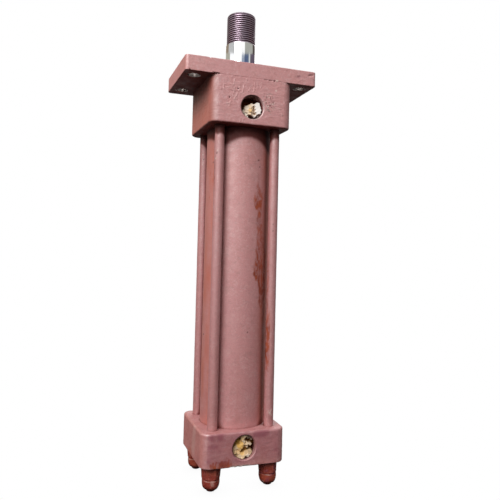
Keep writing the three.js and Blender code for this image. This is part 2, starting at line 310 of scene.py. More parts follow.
def dress(obj, node, sharp=35):
    """Shades obj smoothly and lets it stand for its CAD node, on that node's body and in its finish."""
    obj.data.polygons.foreach_set("use_smooth", np.ones(len(obj.data.polygons), bool))
    obj.data.set_sharp_from_angle(angle=math.radians(sharp))
    store_wear(obj)
    obj.data.materials.clear()
    obj.data.materials.append(finishes[SLOTS[node]])
    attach(obj, frame["nodes"][node]["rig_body"])
    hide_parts(node)


def circle(radius, height, around, centre=(0.0, 0.0)):
    """One row of points. radius may be one number or one for each point."""
    angle = np.arange(around) * TURN / around
    x = centre[0] + radius * np.cos(angle)
    y = centre[1] + radius * np.sin(angle)
    return np.column_stack([x, y, np.full(around, height)])


def turned(name, profile, around, centre=(0.0, 0.0), joined=False):
    """A body of revolution from (radius, height) pairs that run up its outside."""
    rows = [circle(radius, height, around, centre) for radius, height in profile]
    return new_object(name, *loft(rows, joined))


def softened(profile, radius, joined=False):
    """The profile with each corner cut by a small round of that radius."""
    points = [np.array(point, float) for point in profile]
    made = []
    for i, here in enumerate(points):
        if not joined and i in (0, len(points) - 1):
            made.append(here)
            continue
        before = points[i - 1] - here
        after = points[(i + 1) % len(points)] - here
        back, ahead = np.linalg.norm(before), np.linalg.norm(after)
        start = here + before * min(radius / back, 0.45)
        end = here + after * min(radius / ahead, 0.45)
        for t in (0, 0.3, 0.7, 1):
            made.append((1 - t) ** 2 * start + 2 * t * (1 - t) * here + t * t * end)
    return made


def divided(profile, longest):
    """The profile with extra points, so that no step along it is over longest."""
    made = []
    for here, after in zip(profile[:-1], profile[1:]):
        here, after = np.array(here, float), np.array(after, float)
        count = max(1, math.ceil(np.linalg.norm(after - here) / longest))
        made += rows_between(here, after, count)
    return made + [np.array(profile[-1], float)]


def sleeve(name, inside, outside, low, high, soft, around):
    """A tube with soft edges, in steps of 1.5 mm."""
    profile = [(inside, low), (outside, low), (outside, high), (inside, high)]
    profile = divided(softened(profile + profile[:1], soft), 1.5 * MM)[:-1]
    return turned(name, profile, around, joined=True)


def disc_tool(radius, low, high, centre=(0.0, 0.0), around=64):
    return turned("tool", [(radius, low), (radius, high)], around, centre)


def corner_holes(radius, low, high):
    """An upright round tool on each tie rod's axis."""
    return [disc_tool(radius, low, high, centre_of(f"tie_rod_{corner}")) for corner in CORNERS]


def hexagon(flats, angle, turn):
    """Radius of a hexagon at each angle. turn is where a flat faces."""
    sixth = TURN / 6
    return flats / 2 / np.cos((angle - turn + sixth / 2) % sixth - sixth / 2)


def rounded_least(a, b, sharpness):
    """The smaller of two radii, passing smoothly from one to the other."""
    return -np.logaddexp(-sharpness * a, -sharpness * b) / sharpness


def lay_to_front(obj, y, height):
    """Turns a body built upright from z = 0 so that it runs in from the front, from y and at that height."""
    obj.data.transform(Matrix.Translation((0, y, height)) @ Matrix.Rotation(-math.pi / 2, 4, "X"))


# ---------------- materials

class Shader:
    """A node tree, with one short method for each kind of node used here."""

    def __init__(self, owner, place="Object"):
        owner.use_nodes = True
        self.owner = owner
        self.tree = owner.node_tree
        self.tree.nodes.clear()
        self.place = self.node("ShaderNodeTexCoord", output=place)

    def node(self, kind, inputs=(), output=0, **settings):
        made = self.tree.nodes.new(kind)
        for key, value in settings.items():
            setattr(made, key, value)
        for key, value in dict(inputs).items():
            if isinstance(value, bpy.types.NodeSocket):
                self.tree.links.new(value, made.inputs[key])
            elif value is not None:
                made.inputs[key].default_value = value
        return made.outputs[output] if made.outputs else None

    def attribute(self, name):
        return self.node("ShaderNodeAttribute", output="Fac", attribute_name=name)

    def stretched(self, stretch):
        return self.node("ShaderNodeMapping", {"Vector": self.place, "Scale": stretch})

    def noise(self, size, detail=3.0, stretch=(1, 1, 1), roughness=0.55, twist=0.0):
        """Noise with lumps about size metres across, drawn out along an axis where stretch is under 1."""
        inputs = {
            "Vector": self.stretched(stretch),
            "Scale": 1 / size,
            "Detail": detail,
            "Roughness": roughness,
            "Distortion": twist,
        }
        return self.node("ShaderNodeTexNoise", inputs, "Fac")

    def cells(self, size):
        """Distance to the nearest of many scattered points, in shares of size."""
        inputs = {"Vector": self.place, "Scale": 1 / size}
        return self.node("ShaderNodeTexVoronoi", inputs, "Distance")

    def span(self, value, low, high, to_low=0.0, to_high=1.0):
        inputs = {0: value, 1: low, 2: high, 3: to_low, 4: to_high}
        return self.node("ShaderNodeMapRange", inputs, interpolation_type="SMOOTHSTEP")

    def math(self, operation, a, b=None):
        return self.node("ShaderNodeMath", {0: a, 1: b}, operation=operation)

    def times(self, a, b):
        return self.math("MULTIPLY", a, b)

    def mix(self, share, a, b, blend="MIX"):
        inputs = {0: share, 6: a, 7: b}
        return self.node("ShaderNodeMix", inputs, 2, data_type="RGBA", blend_type=blend)

    def dimmed(self, share, colour, factors):
        """The colour, multiplied by the factors where share says."""
        return self.mix(share, colour, self.mix(1.0, colour, (*factors, 1), "MULTIPLY"))

    def layered(self, colour, *layers):
        """The colour under layers of (share, strength, colour), the first of them lowest."""
        for share, strength, over in layers:
            colour = self.mix(self.times(share, strength), colour, over)
        return colour

    def bump(self, height, distance, normal=None):
        inputs = {"Height": height, "Distance": distance, "Strength": 1.0, "Normal": normal}
        return self.node("ShaderNodeBump", inputs)

    def finish(self, colour, roughness, metallic=0.0, normal=None, **more):
        inputs = {"Base Color": colour, "Roughness": roughness, "Metallic": metallic, "Normal": normal}
        inputs.update({key.replace("_", " "): value for key, value in more.items()})
        surface = self.node("ShaderNodeBsdfPrincipled", inputs)
        self.node("ShaderNodeOutputMaterial", {"Surface": surface})
        return self.owner


def material(name):
    return Shader(bpy.data.materials.new(name))


def rgb(red, green, blue):
    """A colour given as 0 to 255 display values, as a node input takes it."""
    linear = [c / 255 / 12.92 if c <= 10 else ((c / 255 + 0.055) / 1.055) ** 2.4 for c in (red, green, blue)]
    return (*linear, 1.0)


def scaled(colour, factor):
    return (*[min(1.0, c * factor) for c in colour[:3]], 1.0)


def paint_colour(s, base, warm, pale):
    """Clean primer: clouding, brushed streaks, dust, curls of thicker paint, small pits and grain."""
    drift = s.span(s.noise(0.075, 4, (1, 1, 0.45), twist=0.6), 0.42, 0.72)
    streaks = s.span(s.noise(0.009, 4, (1, 1, 0.06), twist=0.3), 0.5, 0.8)
    dust = s.span(s.noise(0.028, 6, roughness=0.7), 0.5, 0.78)
    curls = s.span(s.noise(0.006, 4, (1, 1, 1.4), twist=1.6), 0.5, 0.66)
    hollows = s.span(s.noise(0.009, 4, (1, 1, 1.3), twist=1.4), 0.48, 0.34)
    clouded = s.layered(
        base,
        (drift, 0.35, warm),
        (streaks, 0.25, warm),
        (dust, 0.3, pale),
        (curls, 0.45, pale),
        (hollows, 0.26, scaled(warm, 0.6)),
    )
    fine = s.mix(s.span(s.noise(0.0011, 2), 0.25, 0.75), (0.9, 0.9, 0.9, 1), (1.08, 1.08, 1.08, 1))
    return s.layered(
        s.mix(1.0, clouded, fine, "MULTIPLY"),
        (s.span(s.cells(0.009), 0.05, 0.025), 0.6, rgb(70, 32, 28)),
        (s.attribute("worn"), 0.25, pale),
        (s.attribute("hollow"), 0.5, rgb(84, 42, 36)),
    )


def primer(name, base, warm, pale, roughness, gloss):
    """Brushed-on red-oxide primer, with rust, chips, scuffs and bare metal where the mesh says so, and painted
    shade on faces that look down, in tight corners and where the mesh's "shade" says. gloss is its index of
    refraction."""
    s = material(name)
    warmed, violet, chip = s.attribute("warm"), s.attribute("violet"), s.attribute("chip")
    bare, shaded = s.attribute("bare"), s.attribute("shade")
    mottled = s.span(s.noise(0.0035, 5, (1, 1, 0.5)), 0.4, 0.58, 0.45, 1.0)
    rust = s.times(s.attribute("rust"), mottled)
    rusty = s.mix(s.span(s.noise(0.007, 5, (1, 1, 0.5)), 0.35, 0.65), rgb(122, 54, 40), rgb(176, 88, 60))
    colour = s.layered(
        paint_colour(s, base, warm, pale),
        (rust, 1.0, rusty),
        (warmed, 1.0, s.mix(s.noise(0.01, 4), warm, rgb(190, 98, 72))),
        (s.attribute("pale"), 1.0, rgb(222, 196, 184)),
        (violet, 1.0, rgb(140, 72, 88)),
        # Dark where paint has chipped or cracked, and painted shade inside the ports and on the nuts.
        (chip, 1.0, rgb(58, 24, 24)),
    )
    # Painted shade: faces that look down and tight corners (short ambient occlusion) are darkened and lose
    # their sheen.
    open_air = s.span(s.node("ShaderNodeAmbientOcclusion", {"Distance": 0.009}, 1), 0.1, 0.85)
    level = s.node("ShaderNodeSeparateXYZ", {0: s.node("ShaderNodeNewGeometry", output="Normal")}, "Z")
    under = s.math("MAXIMUM", s.span(level, -0.3, -0.95), s.span(open_air, 1.0, 0.0))
    colour = s.dimmed(under, colour, (0.38, 0.22, 0.18))
    # Painted shadow and shade wherever the mesh's "shade" says.
    colour = s.dimmed(shaded, colour, (0.2, 0.11, 0.09))
    colour = s.mix(bare, colour, rgb(196, 192, 190))
    rough = s.span(s.noise(0.01, 4), 0.3, 0.7, roughness - 0.08, roughness + 0.1)
    rough = s.math("ADD", rough, s.times(rust, 0.2))
    rough = s.math("SUBTRACT", rough, s.times(bare, 0.38))
    turning = s.times(s.attribute("rings"), s.noise(0.0011, 2, (0.03, 0.03, 1)))
    normal = s.bump(s.noise(0.0022, 3, (1, 1, 0.22), twist=0.4), 0.00013)
    normal = s.bump(s.noise(0.0009, 2), 0.00004, normal)
    normal = s.bump(turning, 0.00012, normal)
    dull = rust
    for share in (s.times(warmed, 0.6), s.times(violet, 0.9), chip, under, shaded):
        dull = s.math("MAXIMUM", dull, share)
    shine = s.span(dull, 0.0, 1.0, 0.5, 0.06)
    return s.finish(colour, rough, bare, normal, IOR=gloss, Specular_IOR_Level=shine)


def metal(name, colour, roughness, marks):
    """Bare metal with upright tool marks of that depth, darker in its hollows."""
    s = material(name)
    tint = s.layered(
        s.mix(s.noise(0.02, 5), scaled(colour, 0.88), scaled(colour, 1.12)),
        (s.attribute("hollow"), 0.6, scaled(colour, 0.35)),
        (s.attribute("worn"), 0.4, scaled(colour, 1.4)),
    )
    lines = s.noise(0.0008, 3, (1, 1, 0.02))
    rough = s.span(lines, 0.3, 0.7, max(roughness - 0.05, 0.02), roughness + 0.08)
    return s.finish(tint, rough, 1.0, s.bump(lines, marks))


def rod_metal():
    """Polished hard chrome, turning to stained bare steel where the mesh's "steel" says so, its thread painted
    dark in the grooves as shade.
    """
    s = material("hard_chrome")
    steel = s.attribute("steel")
    chrome = s.mix(s.noise(0.03, 4), rgb(226, 227, 230), rgb(238, 239, 240))
    crest = s.mix(s.noise(0.004, 5), rgb(160, 142, 156), rgb(194, 176, 192))
    # Painted shade: the thread's grooves are much darker than its crests.
    groove_shade = s.mix(s.noise(0.006, 3), rgb(38, 24, 28), rgb(62, 44, 50))
    colour = s.mix(steel, chrome, s.mix(s.attribute("crest"), groove_shade, crest))
    fine = s.noise(0.0012, 3, (1, 1, 0.03))
    rough = s.math("ADD", s.span(fine, 0.3, 0.7, 0.02, 0.05), s.times(steel, 0.3))
    return s.finish(colour, rough, 1.0, s.bump(fine, 0.0000005))


def moulded(name, colour, roughness):
    """Moulded rubber or plastic, with a fine grain, slight clouding and dusty edges."""
    s = material(name)
    tint = s.mix(s.noise(0.008, 4), scaled(colour, 0.8), scaled(colour, 1.25))
    tint = s.layered(tint, (s.attribute("worn"), 0.3, scaled(colour, 2.0)))
    rough = s.span(s.noise(0.003, 3), 0.3, 0.7, roughness - 0.08, roughness + 0.1)
    return s.finish(tint, rough, 0.0, s.bump(s.noise(0.0005, 2), 0.00002))


def waste_paper():
    """Creased paper: "tint" runs from tan to white, painted shade darkens its deep folds and gaps, and its
    hollows are darker.
    """
    s = material("crumpled_paper")
    colour = s.layered(
        s.mix(s.attribute("tint"), rgb(246, 192, 98), rgb(255, 250, 244)),
        (s.span(s.noise(0.0015, 5, (1, 0.3, 1)), 0.4, 0.7), 0.12, rgb(160, 130, 88)),
        (s.attribute("hollow"), 0.5, rgb(96, 66, 46)),
        (s.attribute("grime"), 1.0, rgb(92, 42, 18)),
    )
    return s.finish(colour, 0.9, 0.0, s.bump(s.noise(0.0007, 4), 0.00003), Specular_IOR_Level=0.08)


finishes = {
    "casing_primer": primer(
        "casing_primer", rgb(191, 118, 118), rgb(186, 104, 92), rgb(206, 154, 155), roughness=0.6, gloss=2.6
    ),
    "nut_paint": primer(
        "nut_paint", rgb(150, 60, 50), rgb(162, 68, 44), rgb(200, 122, 110), roughness=0.3, gloss=1.7
    ),
    "hard_chrome": rod_metal(),
    "machined_steel": metal("machined_steel", rgb(160, 162, 165), 0.3, 4e-6),
    "screw_steel": metal("screw_steel", rgb(62, 60, 62), 0.36, 2e-6),
    "bronze": metal("gland_bronze", rgb(186, 142, 84), 0.32, 4e-6),
    "piston_iron": metal("piston_iron", rgb(106, 106, 110), 0.45, 6e-6),
    "seal_rubber": moulded("seal_rubber", rgb(40, 40, 42), 0.55),
    "seal_urethane": moulded("seal_urethane", rgb(52, 92, 142), 0.4),
    "filled_plastic": moulded("filled_plastic", rgb(122, 92, 70), 0.5),
    "paper": waste_paper(),
}

# ---------------- head, flange and cap

def outline(length, width, corner, step, front_step):
    """Points round a rectangle with round corners, anticlockwise, and the outward direction at each."""
    x, y = length / 2 - corner, width / 2 - corner
    bends = max(6, round(corner * math.pi / 2 / step))
    points, outward = [], []
    for quarter, (cx, cy) in enumerate([(x, y), (-x, y), (-x, -y), (x, -y)]):
        start = quarter * math.pi / 2
        angle = start + np.arange(bends) / bends * math.pi / 2
        arc = np.column_stack([np.cos(angle), np.sin(angle)])
        side = 2 * (y if quarter % 2 else x)
        count = round(side / (front_step if quarter == 2 else step))
        facing = np.array([math.cos(start + math.pi / 2), math.sin(start + math.pi / 2)])
        along = np.array([-facing[1], facing[0]])
        travel = np.arange(count)[:, None] / count * side
        points += [np.array([cx, cy]) + corner * arc, np.array([cx, cy]) + corner * facing + along * travel]
        outward += [arc, np.tile(facing, (count, 1))]
    return np.vstack(points), np.vstack(outward)


def slab(node, corner, soft_low, soft_high, hole, fine=0.9 * MM):
    """A block in its node's box, with round corners, soft edges and a round hole. fine is its front's step."""
    step = 0.9 * MM
    box_low, box_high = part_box(node)
    length, width, _ = box_high - box_low
    low, high = box_low.z, box_high.z
    points, outward = outline(length - 2 * SKIN, width - 2 * SKIN, corner, step, fine)
    radial = points / np.linalg.norm(points, axis=1, keepdims=True)

    def edge(inset, height):
        return np.column_stack([points - outward * inset, np.full(len(points), height)])

    def mouth(height):
        return np.column_stack([radial * hole, np.full(len(points), height)])

    face = math.ceil((min(length, width) / 2 - hole) / (1.6 * step))
    rise = math.ceil((high - low) / fine)
    bends = np.linspace(0, math.pi / 2, 6)
    rows = rows_between(mouth(low), edge(soft_low, low), face)
    rows += [edge(soft_low * (1 - math.sin(b)), low + soft_low * (1 - math.cos(b))) for b in bends]
    rows += rows_between(edge(0, low + soft_low), edge(0, high - soft_high), rise)[1:]
    rows += [edge(soft_high * (1 - math.cos(b)), high - soft_high * (1 - math.sin(b))) for b in bends]
    rows += rows_between(edge(soft_high, high), mouth(high), face)[1:]
    rows += rows_between(mouth(high), mouth(low), 6)
    return new_object(node + "_look", *loft(rows, joined=True))


def block_lumps(points, seed):
    """Brush ridges, sags and orange peel of thick paint, from 0 to 1 of the skin."""
    crooked = points + 2 * MM * noise(points, 11 * MM, seed)[:, None]
    ridges = 1 - np.abs(grain(crooked, 9, 9, 3.4, seed + 1))
    sags = grain(points, 14, 14, 22, seed + 2)
    peel = noise(points, 2.6 * MM, seed + 3)
    return 0.35 * ridges ** 3 + 0.25 * (sags + 1) / 2 + 0.12 * (peel + 1) / 2


def port_tool(height):
    """The threaded port, its bevelled mouth and the oilway behind it."""
    around = 96
    angle = np.arange(around) / around
    rows = [circle(PORT_MOUTH + 2 * MM, -2 * MM, around)]
    thread_end = PORT_DEPTH - 2.5 * MM
    depth = PORT_CHAMFER
    while depth < thread_end:
        wave = np.abs((depth / PORT_PITCH - angle) % 1 * 2 - 1)
        fade = min(1, (depth - PORT_CHAMFER) / MM, (thread_end - depth) / MM)
        rows.append(circle(PORT + 1.0 * MM * fade * wave, depth, around))
        depth += PORT_PITCH / 8
    rows += [circle(PORT, thread_end, around), circle(PORT, PORT_DEPTH, around)]
    rows += [circle(OILWAY, PORT_DEPTH + 2 * MM, around), circle(OILWAY, OILWAY_END, around)]
    tool = new_object("port_tool", *loft(rows))
    lay_to_front(tool, FRONT, height)
    return tool


def port_marks(points, height):
    """Where a port is painted dark as shade: its thread's grooves, its oilway and the upper left of its bevel,
    which faces away from the light. Then its bevel and all of its inside, each from 0 to 1."""
    radius = np.hypot(points[:, 0], points[:, 2] - height)
    depth = points[:, 1] - FRONT
    inside = (radius < PORT_MOUTH) * (points[:, 1] < 0) * ramp(depth, 0.6 * MM, 1.2 * MM)
    groove_shade = 0.15 + 0.75 * ramp(radius, PORT + 0.25 * MM, PORT + 0.75 * MM)
    dark = inside * np.where(radius < PORT - 0.2 * MM, 1, groove_shade)
    bevel = ramp(radius, PORT - 0.3 * MM, PORT) * ramp(-radius, -PORT_MOUTH - 0.3 * MM, -PORT_MOUTH)
    bevel *= depth < 2 * MM
    shaded_upper_left = ramp(points[:, 2] - height - points[:, 0], -3 * MM, 8 * MM)
    return np.maximum(dark, 0.75 * bevel * shaded_upper_left), bevel, inside


def head_shade(points):
    """Painted shadow under the head, from 0 to 1: longer where the head stands out further."""
    out = np.minimum((points[:, 0] - head_low.x) / 0.72, (points[:, 1] - head_low.y) / 0.69)
    out = np.clip(out, MM, 34 * MM)
    return ramp(points[:, 2] - head_low.z, -0.94 * out, -0.6 * out)


def seam_cracks(points):
    """Where the paint over the joint of head and flange has cracked open, from 0 to 1."""
    left = scratch(points, (-47, 0), (-40, 0), 1.4)
    right = scratch(points, (13.5, 0), (17, 0), 0.9)
    further = scratch(points, (19.5, -0.2), (22.5, 0), 1.0)
    return strongest(left, 0.8 * right, further, 0.8 * mark(points, 25.8, 0.2, 1.2, 3, 1.1))


def seam_flakes(points):
    """Pale flakes of old paint beside the cracks, from 0 to 1."""
    return np.maximum(mark(points, -43.6, -1.9, 2.0, 3, 1.3), 0.8 * mark(points, 29, 0.6, 2.2, 3, 1.6))


def brush_ridges(points):
    """Thin crooked ridges of paint left on the head's front by a dragging brush, from 0 to 1."""
    rng = np.random.default_rng(17)
    near = points[:, 1] < FRONT + 2 * MM
    some = points[near]
    total = np.zeros(len(some))
    for i in range(60):
        upper = i % 3 > 0
        x = rng.uniform(-44, 12) if upper else rng.uniform(-44, 40)
        down = rng.uniform(2, 24) if upper else rng.uniform(20, 50)
        lean = rng.uniform(-1.5, 1.5)
        length = rng.uniform(2.5, 7)
        width = rng.uniform(0.7, 1.3)
        across = rng.random() < 0.3
        ahead = np.array([length * 0.8, lean] if across else [lean, -length])
        if math.hypot(x + ahead[0], down - 33) < 18:
            continue  # it would run into the port
        start = np.array([x, -down])
        bend = start + ahead * 0.5 + rng.uniform(-1.2, 1.2, 2)
        crooked = some + 0.5 * MM * noise(some, 2.5 * MM, 40 + i)[:, None]
        for a, b in ((start, bend), (bend, start + ahead)):
            total = np.maximum(total, rng.uniform(0.6, 1.0) * scratch(crooked, a, b, width))
    made = np.zeros(len(points))
    made[near] = total
    return made


def head_block():
    node = "head_block"
    obj = slab(node, BLOCK_CORNER, 2.0 * MM, 0.3 * MM, CHAMBER, fine=0.5 * MM)
    points = points_of(obj)
    patch = ramp(in_front(points), 0, 1) * ramp(points[:, 2], head_low.z + 4 * MM, head_low.z + 18 * MM)
    wrinkles = np.abs(grain(points, 5, 9, 2.2, 9))
    lumps = block_lumps(points, 3) + 0.3 * patch * (1 - wrinkles) ** 4
    lumps = np.clip(lumps + 0.8 * brush_ridges(points), 0, 1) * SKIN
    dents = 0.9 * seam_cracks(points)
    for x, up, radius in ((-17.7, -14.1, 1.6), (-27.5, -25.0, 1.8), (-44.8, -2.9, 2.2)):
        dents += 0.45 * mark(points, x, up, radius, radius, radius)
    push(obj, lumps - dents * MM)
    over = head_high.z + MM
    boolean(obj, [
        port_tool(head_port),
        disc_tool(BARREL + GAP, head_low.z - MM, register_roof, around=120),
        disc_tool(bush_high.x + GAP, bush_low.z, over, around=120),
        *corner_holes(TIE_ROD + GAP, head_low.z - MM, tie_rod_high.z + MM),
        *corner_holes(SCREW_HOLE, screw_low.z - MM, over),
    ])
    store(obj, **head_finish(points_of(obj)))
    dress(obj, node)


def head_finish(points):
    x, y, z = points.T
    dark, bevel, inside = port_marks(points, head_port)
    shaken = points + 1.1 * MM * np.column_stack([noise(points, 1.7 * MM, seed) for seed in (24, 25, 26)])
    scuffed = mark(points, 20, -27, 9, 3, 15)
    flange_shadow = ramp(z, SEAM - 42 * MM, SEAM - 4 * MM)
    return {
        "chip": strongest(
            seam_cracks(points) * in_front(points),
            0.8 * mark(points, -17.7, -14.1, 1.2, 3, 1.2),
            0.8 * mark(points, -27.5, -25.0, 1.3, 3, 1.3),
            0.6 * scuffed * speckle(shaken, 1.3 * MM, 0.58, 23),
            dark,
        ),
        "pale": strongest(
            0.75 * scuffed * speckle(shaken, 1.5 * MM, 0.58, 21),
            0.6 * mark(points, -42.5, -5.0, 1.6, 3, 1.6),
            0.6 * mark(points, 28.2, -11.0, 1.5, 3, 1.5),
            # A painted highlight along the brush ridges.
            0.14 * ramp(brush_ridges(points), 0.5, 0.95),
            0.85 * seam_flakes(points),
        ),
        # Bare metal on the port's bevel towards its lower right, the side the light falls on: worn metal and a
        # painted highlight.
        "bare": 0.35 * bevel * ramp(x - 0.7 * (z - head_port), -4 * MM, 12 * MM),
        # Warmer and duller over the left face: painted warm side light.
        "warm": 0.85 * ramp(-x, 40 * MM, 48 * MM),
        # Painted shadow of the flange down the left face, and painted shade that dims the front left corner's
        # highlight.
        "shade": np.maximum(
            0.8 * ramp(-x, 45 * MM, 48 * MM) * flange_shadow,
            0.36 * ramp(-x - y, 85 * MM, 91 * MM),
        ),
        "rust": 0.5 * inside,
    }


def bolt_hole_tool(centre):
    """A drilled hole with a small bevel at each end."""
    low, high = flange_low.z, flange_high.z
    bevel = 0.6 * MM
    wide = BOLT_HOLE + bevel + MM
    profile = [(wide, low - MM), (BOLT_HOLE, low + bevel), (BOLT_HOLE, high - bevel), (wide, high + MM)]
    return turned("tool", divided(profile, 2 * MM), 72, centre)


def flange_plate():
    node = "flange_plate"
    obj = slab(node, FLANGE_CORNER, 0.5 * MM, 0.6 * MM, bush_high.x + GAP)
    points = points_of(obj)
    dents = 0.8 * seam_cracks(points)
    dents += 0.9 * mark(points, -51, 0, 1.6, 2, 1.2, flange_high.z)
    dents += 0.9 * scratch(points, (69.5, 12.1), (74.5, 13.1), 1.4)
    dents += 0.8 * mark(points, -73.7, 0, 1.5, 2, 1.2, flange_low.z)
    dents += 0.3 * mark(points, 57, 8.5, 3.5, 2, 2.4)
    push(obj, np.clip(block_lumps(points, 31), 0, 1) * SKIN - dents * MM)
    over = flange_high.z + MM
    tools = [disc_tool(plate_high.x + GAP, plate_low.z, plate_high.z + MM, around=128)]
    tools += corner_holes(SCREW_HOLE, flange_low.z - MM, over)
    tools += corner_holes(COUNTERBORE, SCREW_SEAT, over)
    for side in RETAINER_SIDES:
        screw = f"retainer_screw_{side}"
        tools.append(disc_tool(SMALL_SCREW_HOLE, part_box(screw)[0].z - 0.5 * MM, over, centre_of(screw), 32))
    tools += [bolt_hole_tool(place) for place in BOLT_PLACES]
    boolean(obj, tools)
    store(obj, **flange_finish(points_of(obj)))
    dress(obj, node)


def flange_finish(points):
    away = np.min([np.hypot(points[:, 0] - x, points[:, 1] - y) for x, y in BOLT_PLACES], axis=0)
    return {
        "bare": ramp(-away, -BOLT_HOLE - 0.4 * MM, -BOLT_HOLE - 0.1 * MM),
        # Warmer and duller on the left end: painted warm side light.
        "warm": 0.3 * ramp(-points[:, 0], 75 * MM, 78.6 * MM),
        "chip": strongest(
            seam_cracks(points) * in_front(points),
            mark(points, -51, 0, 1.6, 2, 1.3, flange_high.z),
            scratch(points, (70, 12.1), (74, 12.9), 1.1),
            0.6 * mark(points, -73.7, 0, 1.5, 2, 1.2, flange_low.z),
        ),
        "pale": strongest(
            0.85 * seam_flakes(points),
            0.8 * mark(points, -78.8, 10.5, 1.2, 2, 2.4),
            0.7 * mark(points, -78.8, 3.1, 1.6, 2, 2.2),
        ),
        "violet": 0.35 * mark(points, 57, 8.5, 4, 3, 3),
    }


def bottom_chips(points):
    """Where the paint has chipped off the cap's lower front edge, from 0 to 1."""
    return scratch(points, (-15, 0), (6, 0), 2.4, cap_low.z)


def cap_block():
    node = "cap_block"
    obj = slab(node, BLOCK_CORNER, 0.9 * MM, 2.0 * MM, CHAMBER)
    points = points_of(obj)
    chipped = 0.5 * MM * bottom_chips(points) * speckle(points, 3 * MM, 0.3, 8)
    push(obj, np.clip(block_lumps(points, 55), 0, 1) * SKIN - chipped)
    chamber_floor = rod_low.z - 4 * MM
    boolean(obj, [disc_tool(CHAMBER + 3 * MM, cap_low.z, chamber_floor, around=120)], "UNION")
    boolean(obj, [
        port_tool(cap_port),
        disc_tool(BARREL + GAP, register_floor, cap_high.z + MM, around=120),
        *corner_holes(TIE_ROD + GAP, cap_low.z - MM, cap_high.z + MM),
    ])
    store(obj, **cap_finish(points_of(obj)))
    dress(obj, node)


def cap_finish(points):
    base = cap_low.z
    up = points[:, 2] - base
    front = in_front(points)
    edge = bottom_chips(points)
    left = ramp(-points[:, 0], 44 * MM, 48.6 * MM)
    dark, _, inside = port_marks(points, cap_port)
    crooked = points + 3.5 * MM * noise(points, 7 * MM, 63)[:, None] * np.array([1, 0, 1])
    blotches = noise(points, 13 * MM, 61) + 0.4 * noise(points, 5 * MM, 62)
    front_stain = mark(crooked, -28, 3, 17, 6, 11, base)
    side_stain = spot(points, (-49 * MM, 4 * MM, base + 2 * MM), (4 * MM, 12 * MM, 9 * MM))
    reflection_ends = [(-49 * MM, y * MM, CAP_TOP - down * MM) for y, down in ((-14, 5.5), (-10, 26))]
    return {
        "rust": strongest(1.3 * front_stain * front, 0.7 * side_stain, 0.5 * inside),
        # A blotchy violet tone over the front, which also darkens the whole face as painted shade.
        "violet": front * ramp(up, 1 * MM, 9 * MM) * (0.34 + 0.4 * ramp(blotches, -0.1, 0.7)),
        # Pale where the lower front edge has chipped, and a painted reflection streaked down the left face.
        "pale": np.maximum(
            edge * ramp(-up, -3.0 * MM, -1.2 * MM),
            0.2 * left * stroke_on(points, *reflection_ends, 10 * MM),
        ),
        "chip": np.maximum(0.5 * edge * ramp(-up, -1.2 * MM, -0.4 * MM), dark),
        # Warmer and duller over the left face: painted warm side light. On the front, blotches of warmer tone.
        "warm": np.maximum(0.4 * left, 0.3 * front * ramp(-blotches, 0.1, 0.8)),
        # Painted shade over the top face.
        "shade": 0.22 * ramp(points[:, 2], CAP_TOP - 1.2 * MM, CAP_TOP - 0.3 * MM),
    }


# ---------------- barrel, tie rods and nuts

def barrel_tube():
    node = "barrel_tube"
    outside = BARREL - 0.12 * MM
    obj = sleeve(node + "_look", 31.5 * MM, outside, tube_low.z, tube_high.z, 0.3 * MM, 180)
    points = points_of(obj)
    outer = np.hypot(points[:, 0], points[:, 1]) > outside - 0.2 * MM
    lumps = 0.05 * grain(points, 9, 9, 26, 4) + 0.03 * grain(points, 12, 12, 1.6, 5)
    push(obj, outer * (lumps + 0.04) * MM)
    store(obj, **barrel_finish(points_of(obj), outer))
    dress(obj, node)


def rust_streak(points, facing, z):
    """A run of rust down the barrel's front right, from 0 to 1, wide in its lower half and narrower above.
    Its left and right edges are bearings in degrees, at z millimetres over the cap."""
    ragged = 3 * grain(points, 4, 4, 11, 6) + 2.5 * grain(points, 3, 3, 4, 7)
    left = np.maximum(38 - 0.3 * (z - 109), 17) - 4 * band(z, 177, 16) - 4 * band(z, 263, 22)
    right = 54 - 21 * ramp(z, 192, 240) - 10 * ramp(z, 262, 278)
    between = ramp(facing - left - ragged, 0, 4) * ramp(right + ragged - facing, -3, 3)
    strength = 0.7 + 0.3 * np.maximum(band(z, 252, 14), band(z, 170, 40))
    return between * ramp(z, 105, 127) * ramp(-z, -296, -268) * strength


def barrel_finish(points, outer):
    facing = bearing(points)
    z = (points[:, 2] - CAP_TOP) / MM
    stains = grain(points, 9, 9, 22, 64)
    left_side = ramp(-facing, 56, 64) * ramp(facing, -112, -96)
    shaded_right_side = ramp(facing + 4 * stains, 24, 46) * ramp(-facing, -120, -80)
    blotchy = 0.4 + 0.6 * ramp(grain(points, 6, 6, 16, 65), -0.2, 0.5)
    patches = 0.4 * band(z, 300, 30) + 0.7 * band(z, 106, 34) * ramp(-facing, 78, 92)
    patches += 0.7 * band(z, 272, 26) * ramp(facing, -88, -74)
    patches = np.maximum(patches, 0.25 * band(z, 200, 60)) * blotchy

    def dot(degrees, height, radius):
        return spot(points, round_side(degrees, BARREL, height), radius * MM)

    return {
        "rust": outer * np.maximum(rust_streak(points, facing, z), left_side * patches),
        # Warmer and duller down both sides: painted warm light on the left side, painted shade on the right
        # side.
        "warm": outer * np.maximum(left_side * (0.65 + 0.3 * stains), 0.85 * shaded_right_side),
        "chip": 0.9 * strongest(
            dot(21, 305.5, 1.3),
            dot(23.6, 297.5, 0.7),
            dot(6, 107.5, 1.1),
            dot(-67, 302.5, 1.1),
            dot(-87, 101.5, 1.6),
        ),
        "pale": 0.8 * dot(53, 16, 1.4) + 0.5 * dot(51, 234.5, 0.8),
        "rings": outer,
        "shade": outer * head_shade(points),
    }


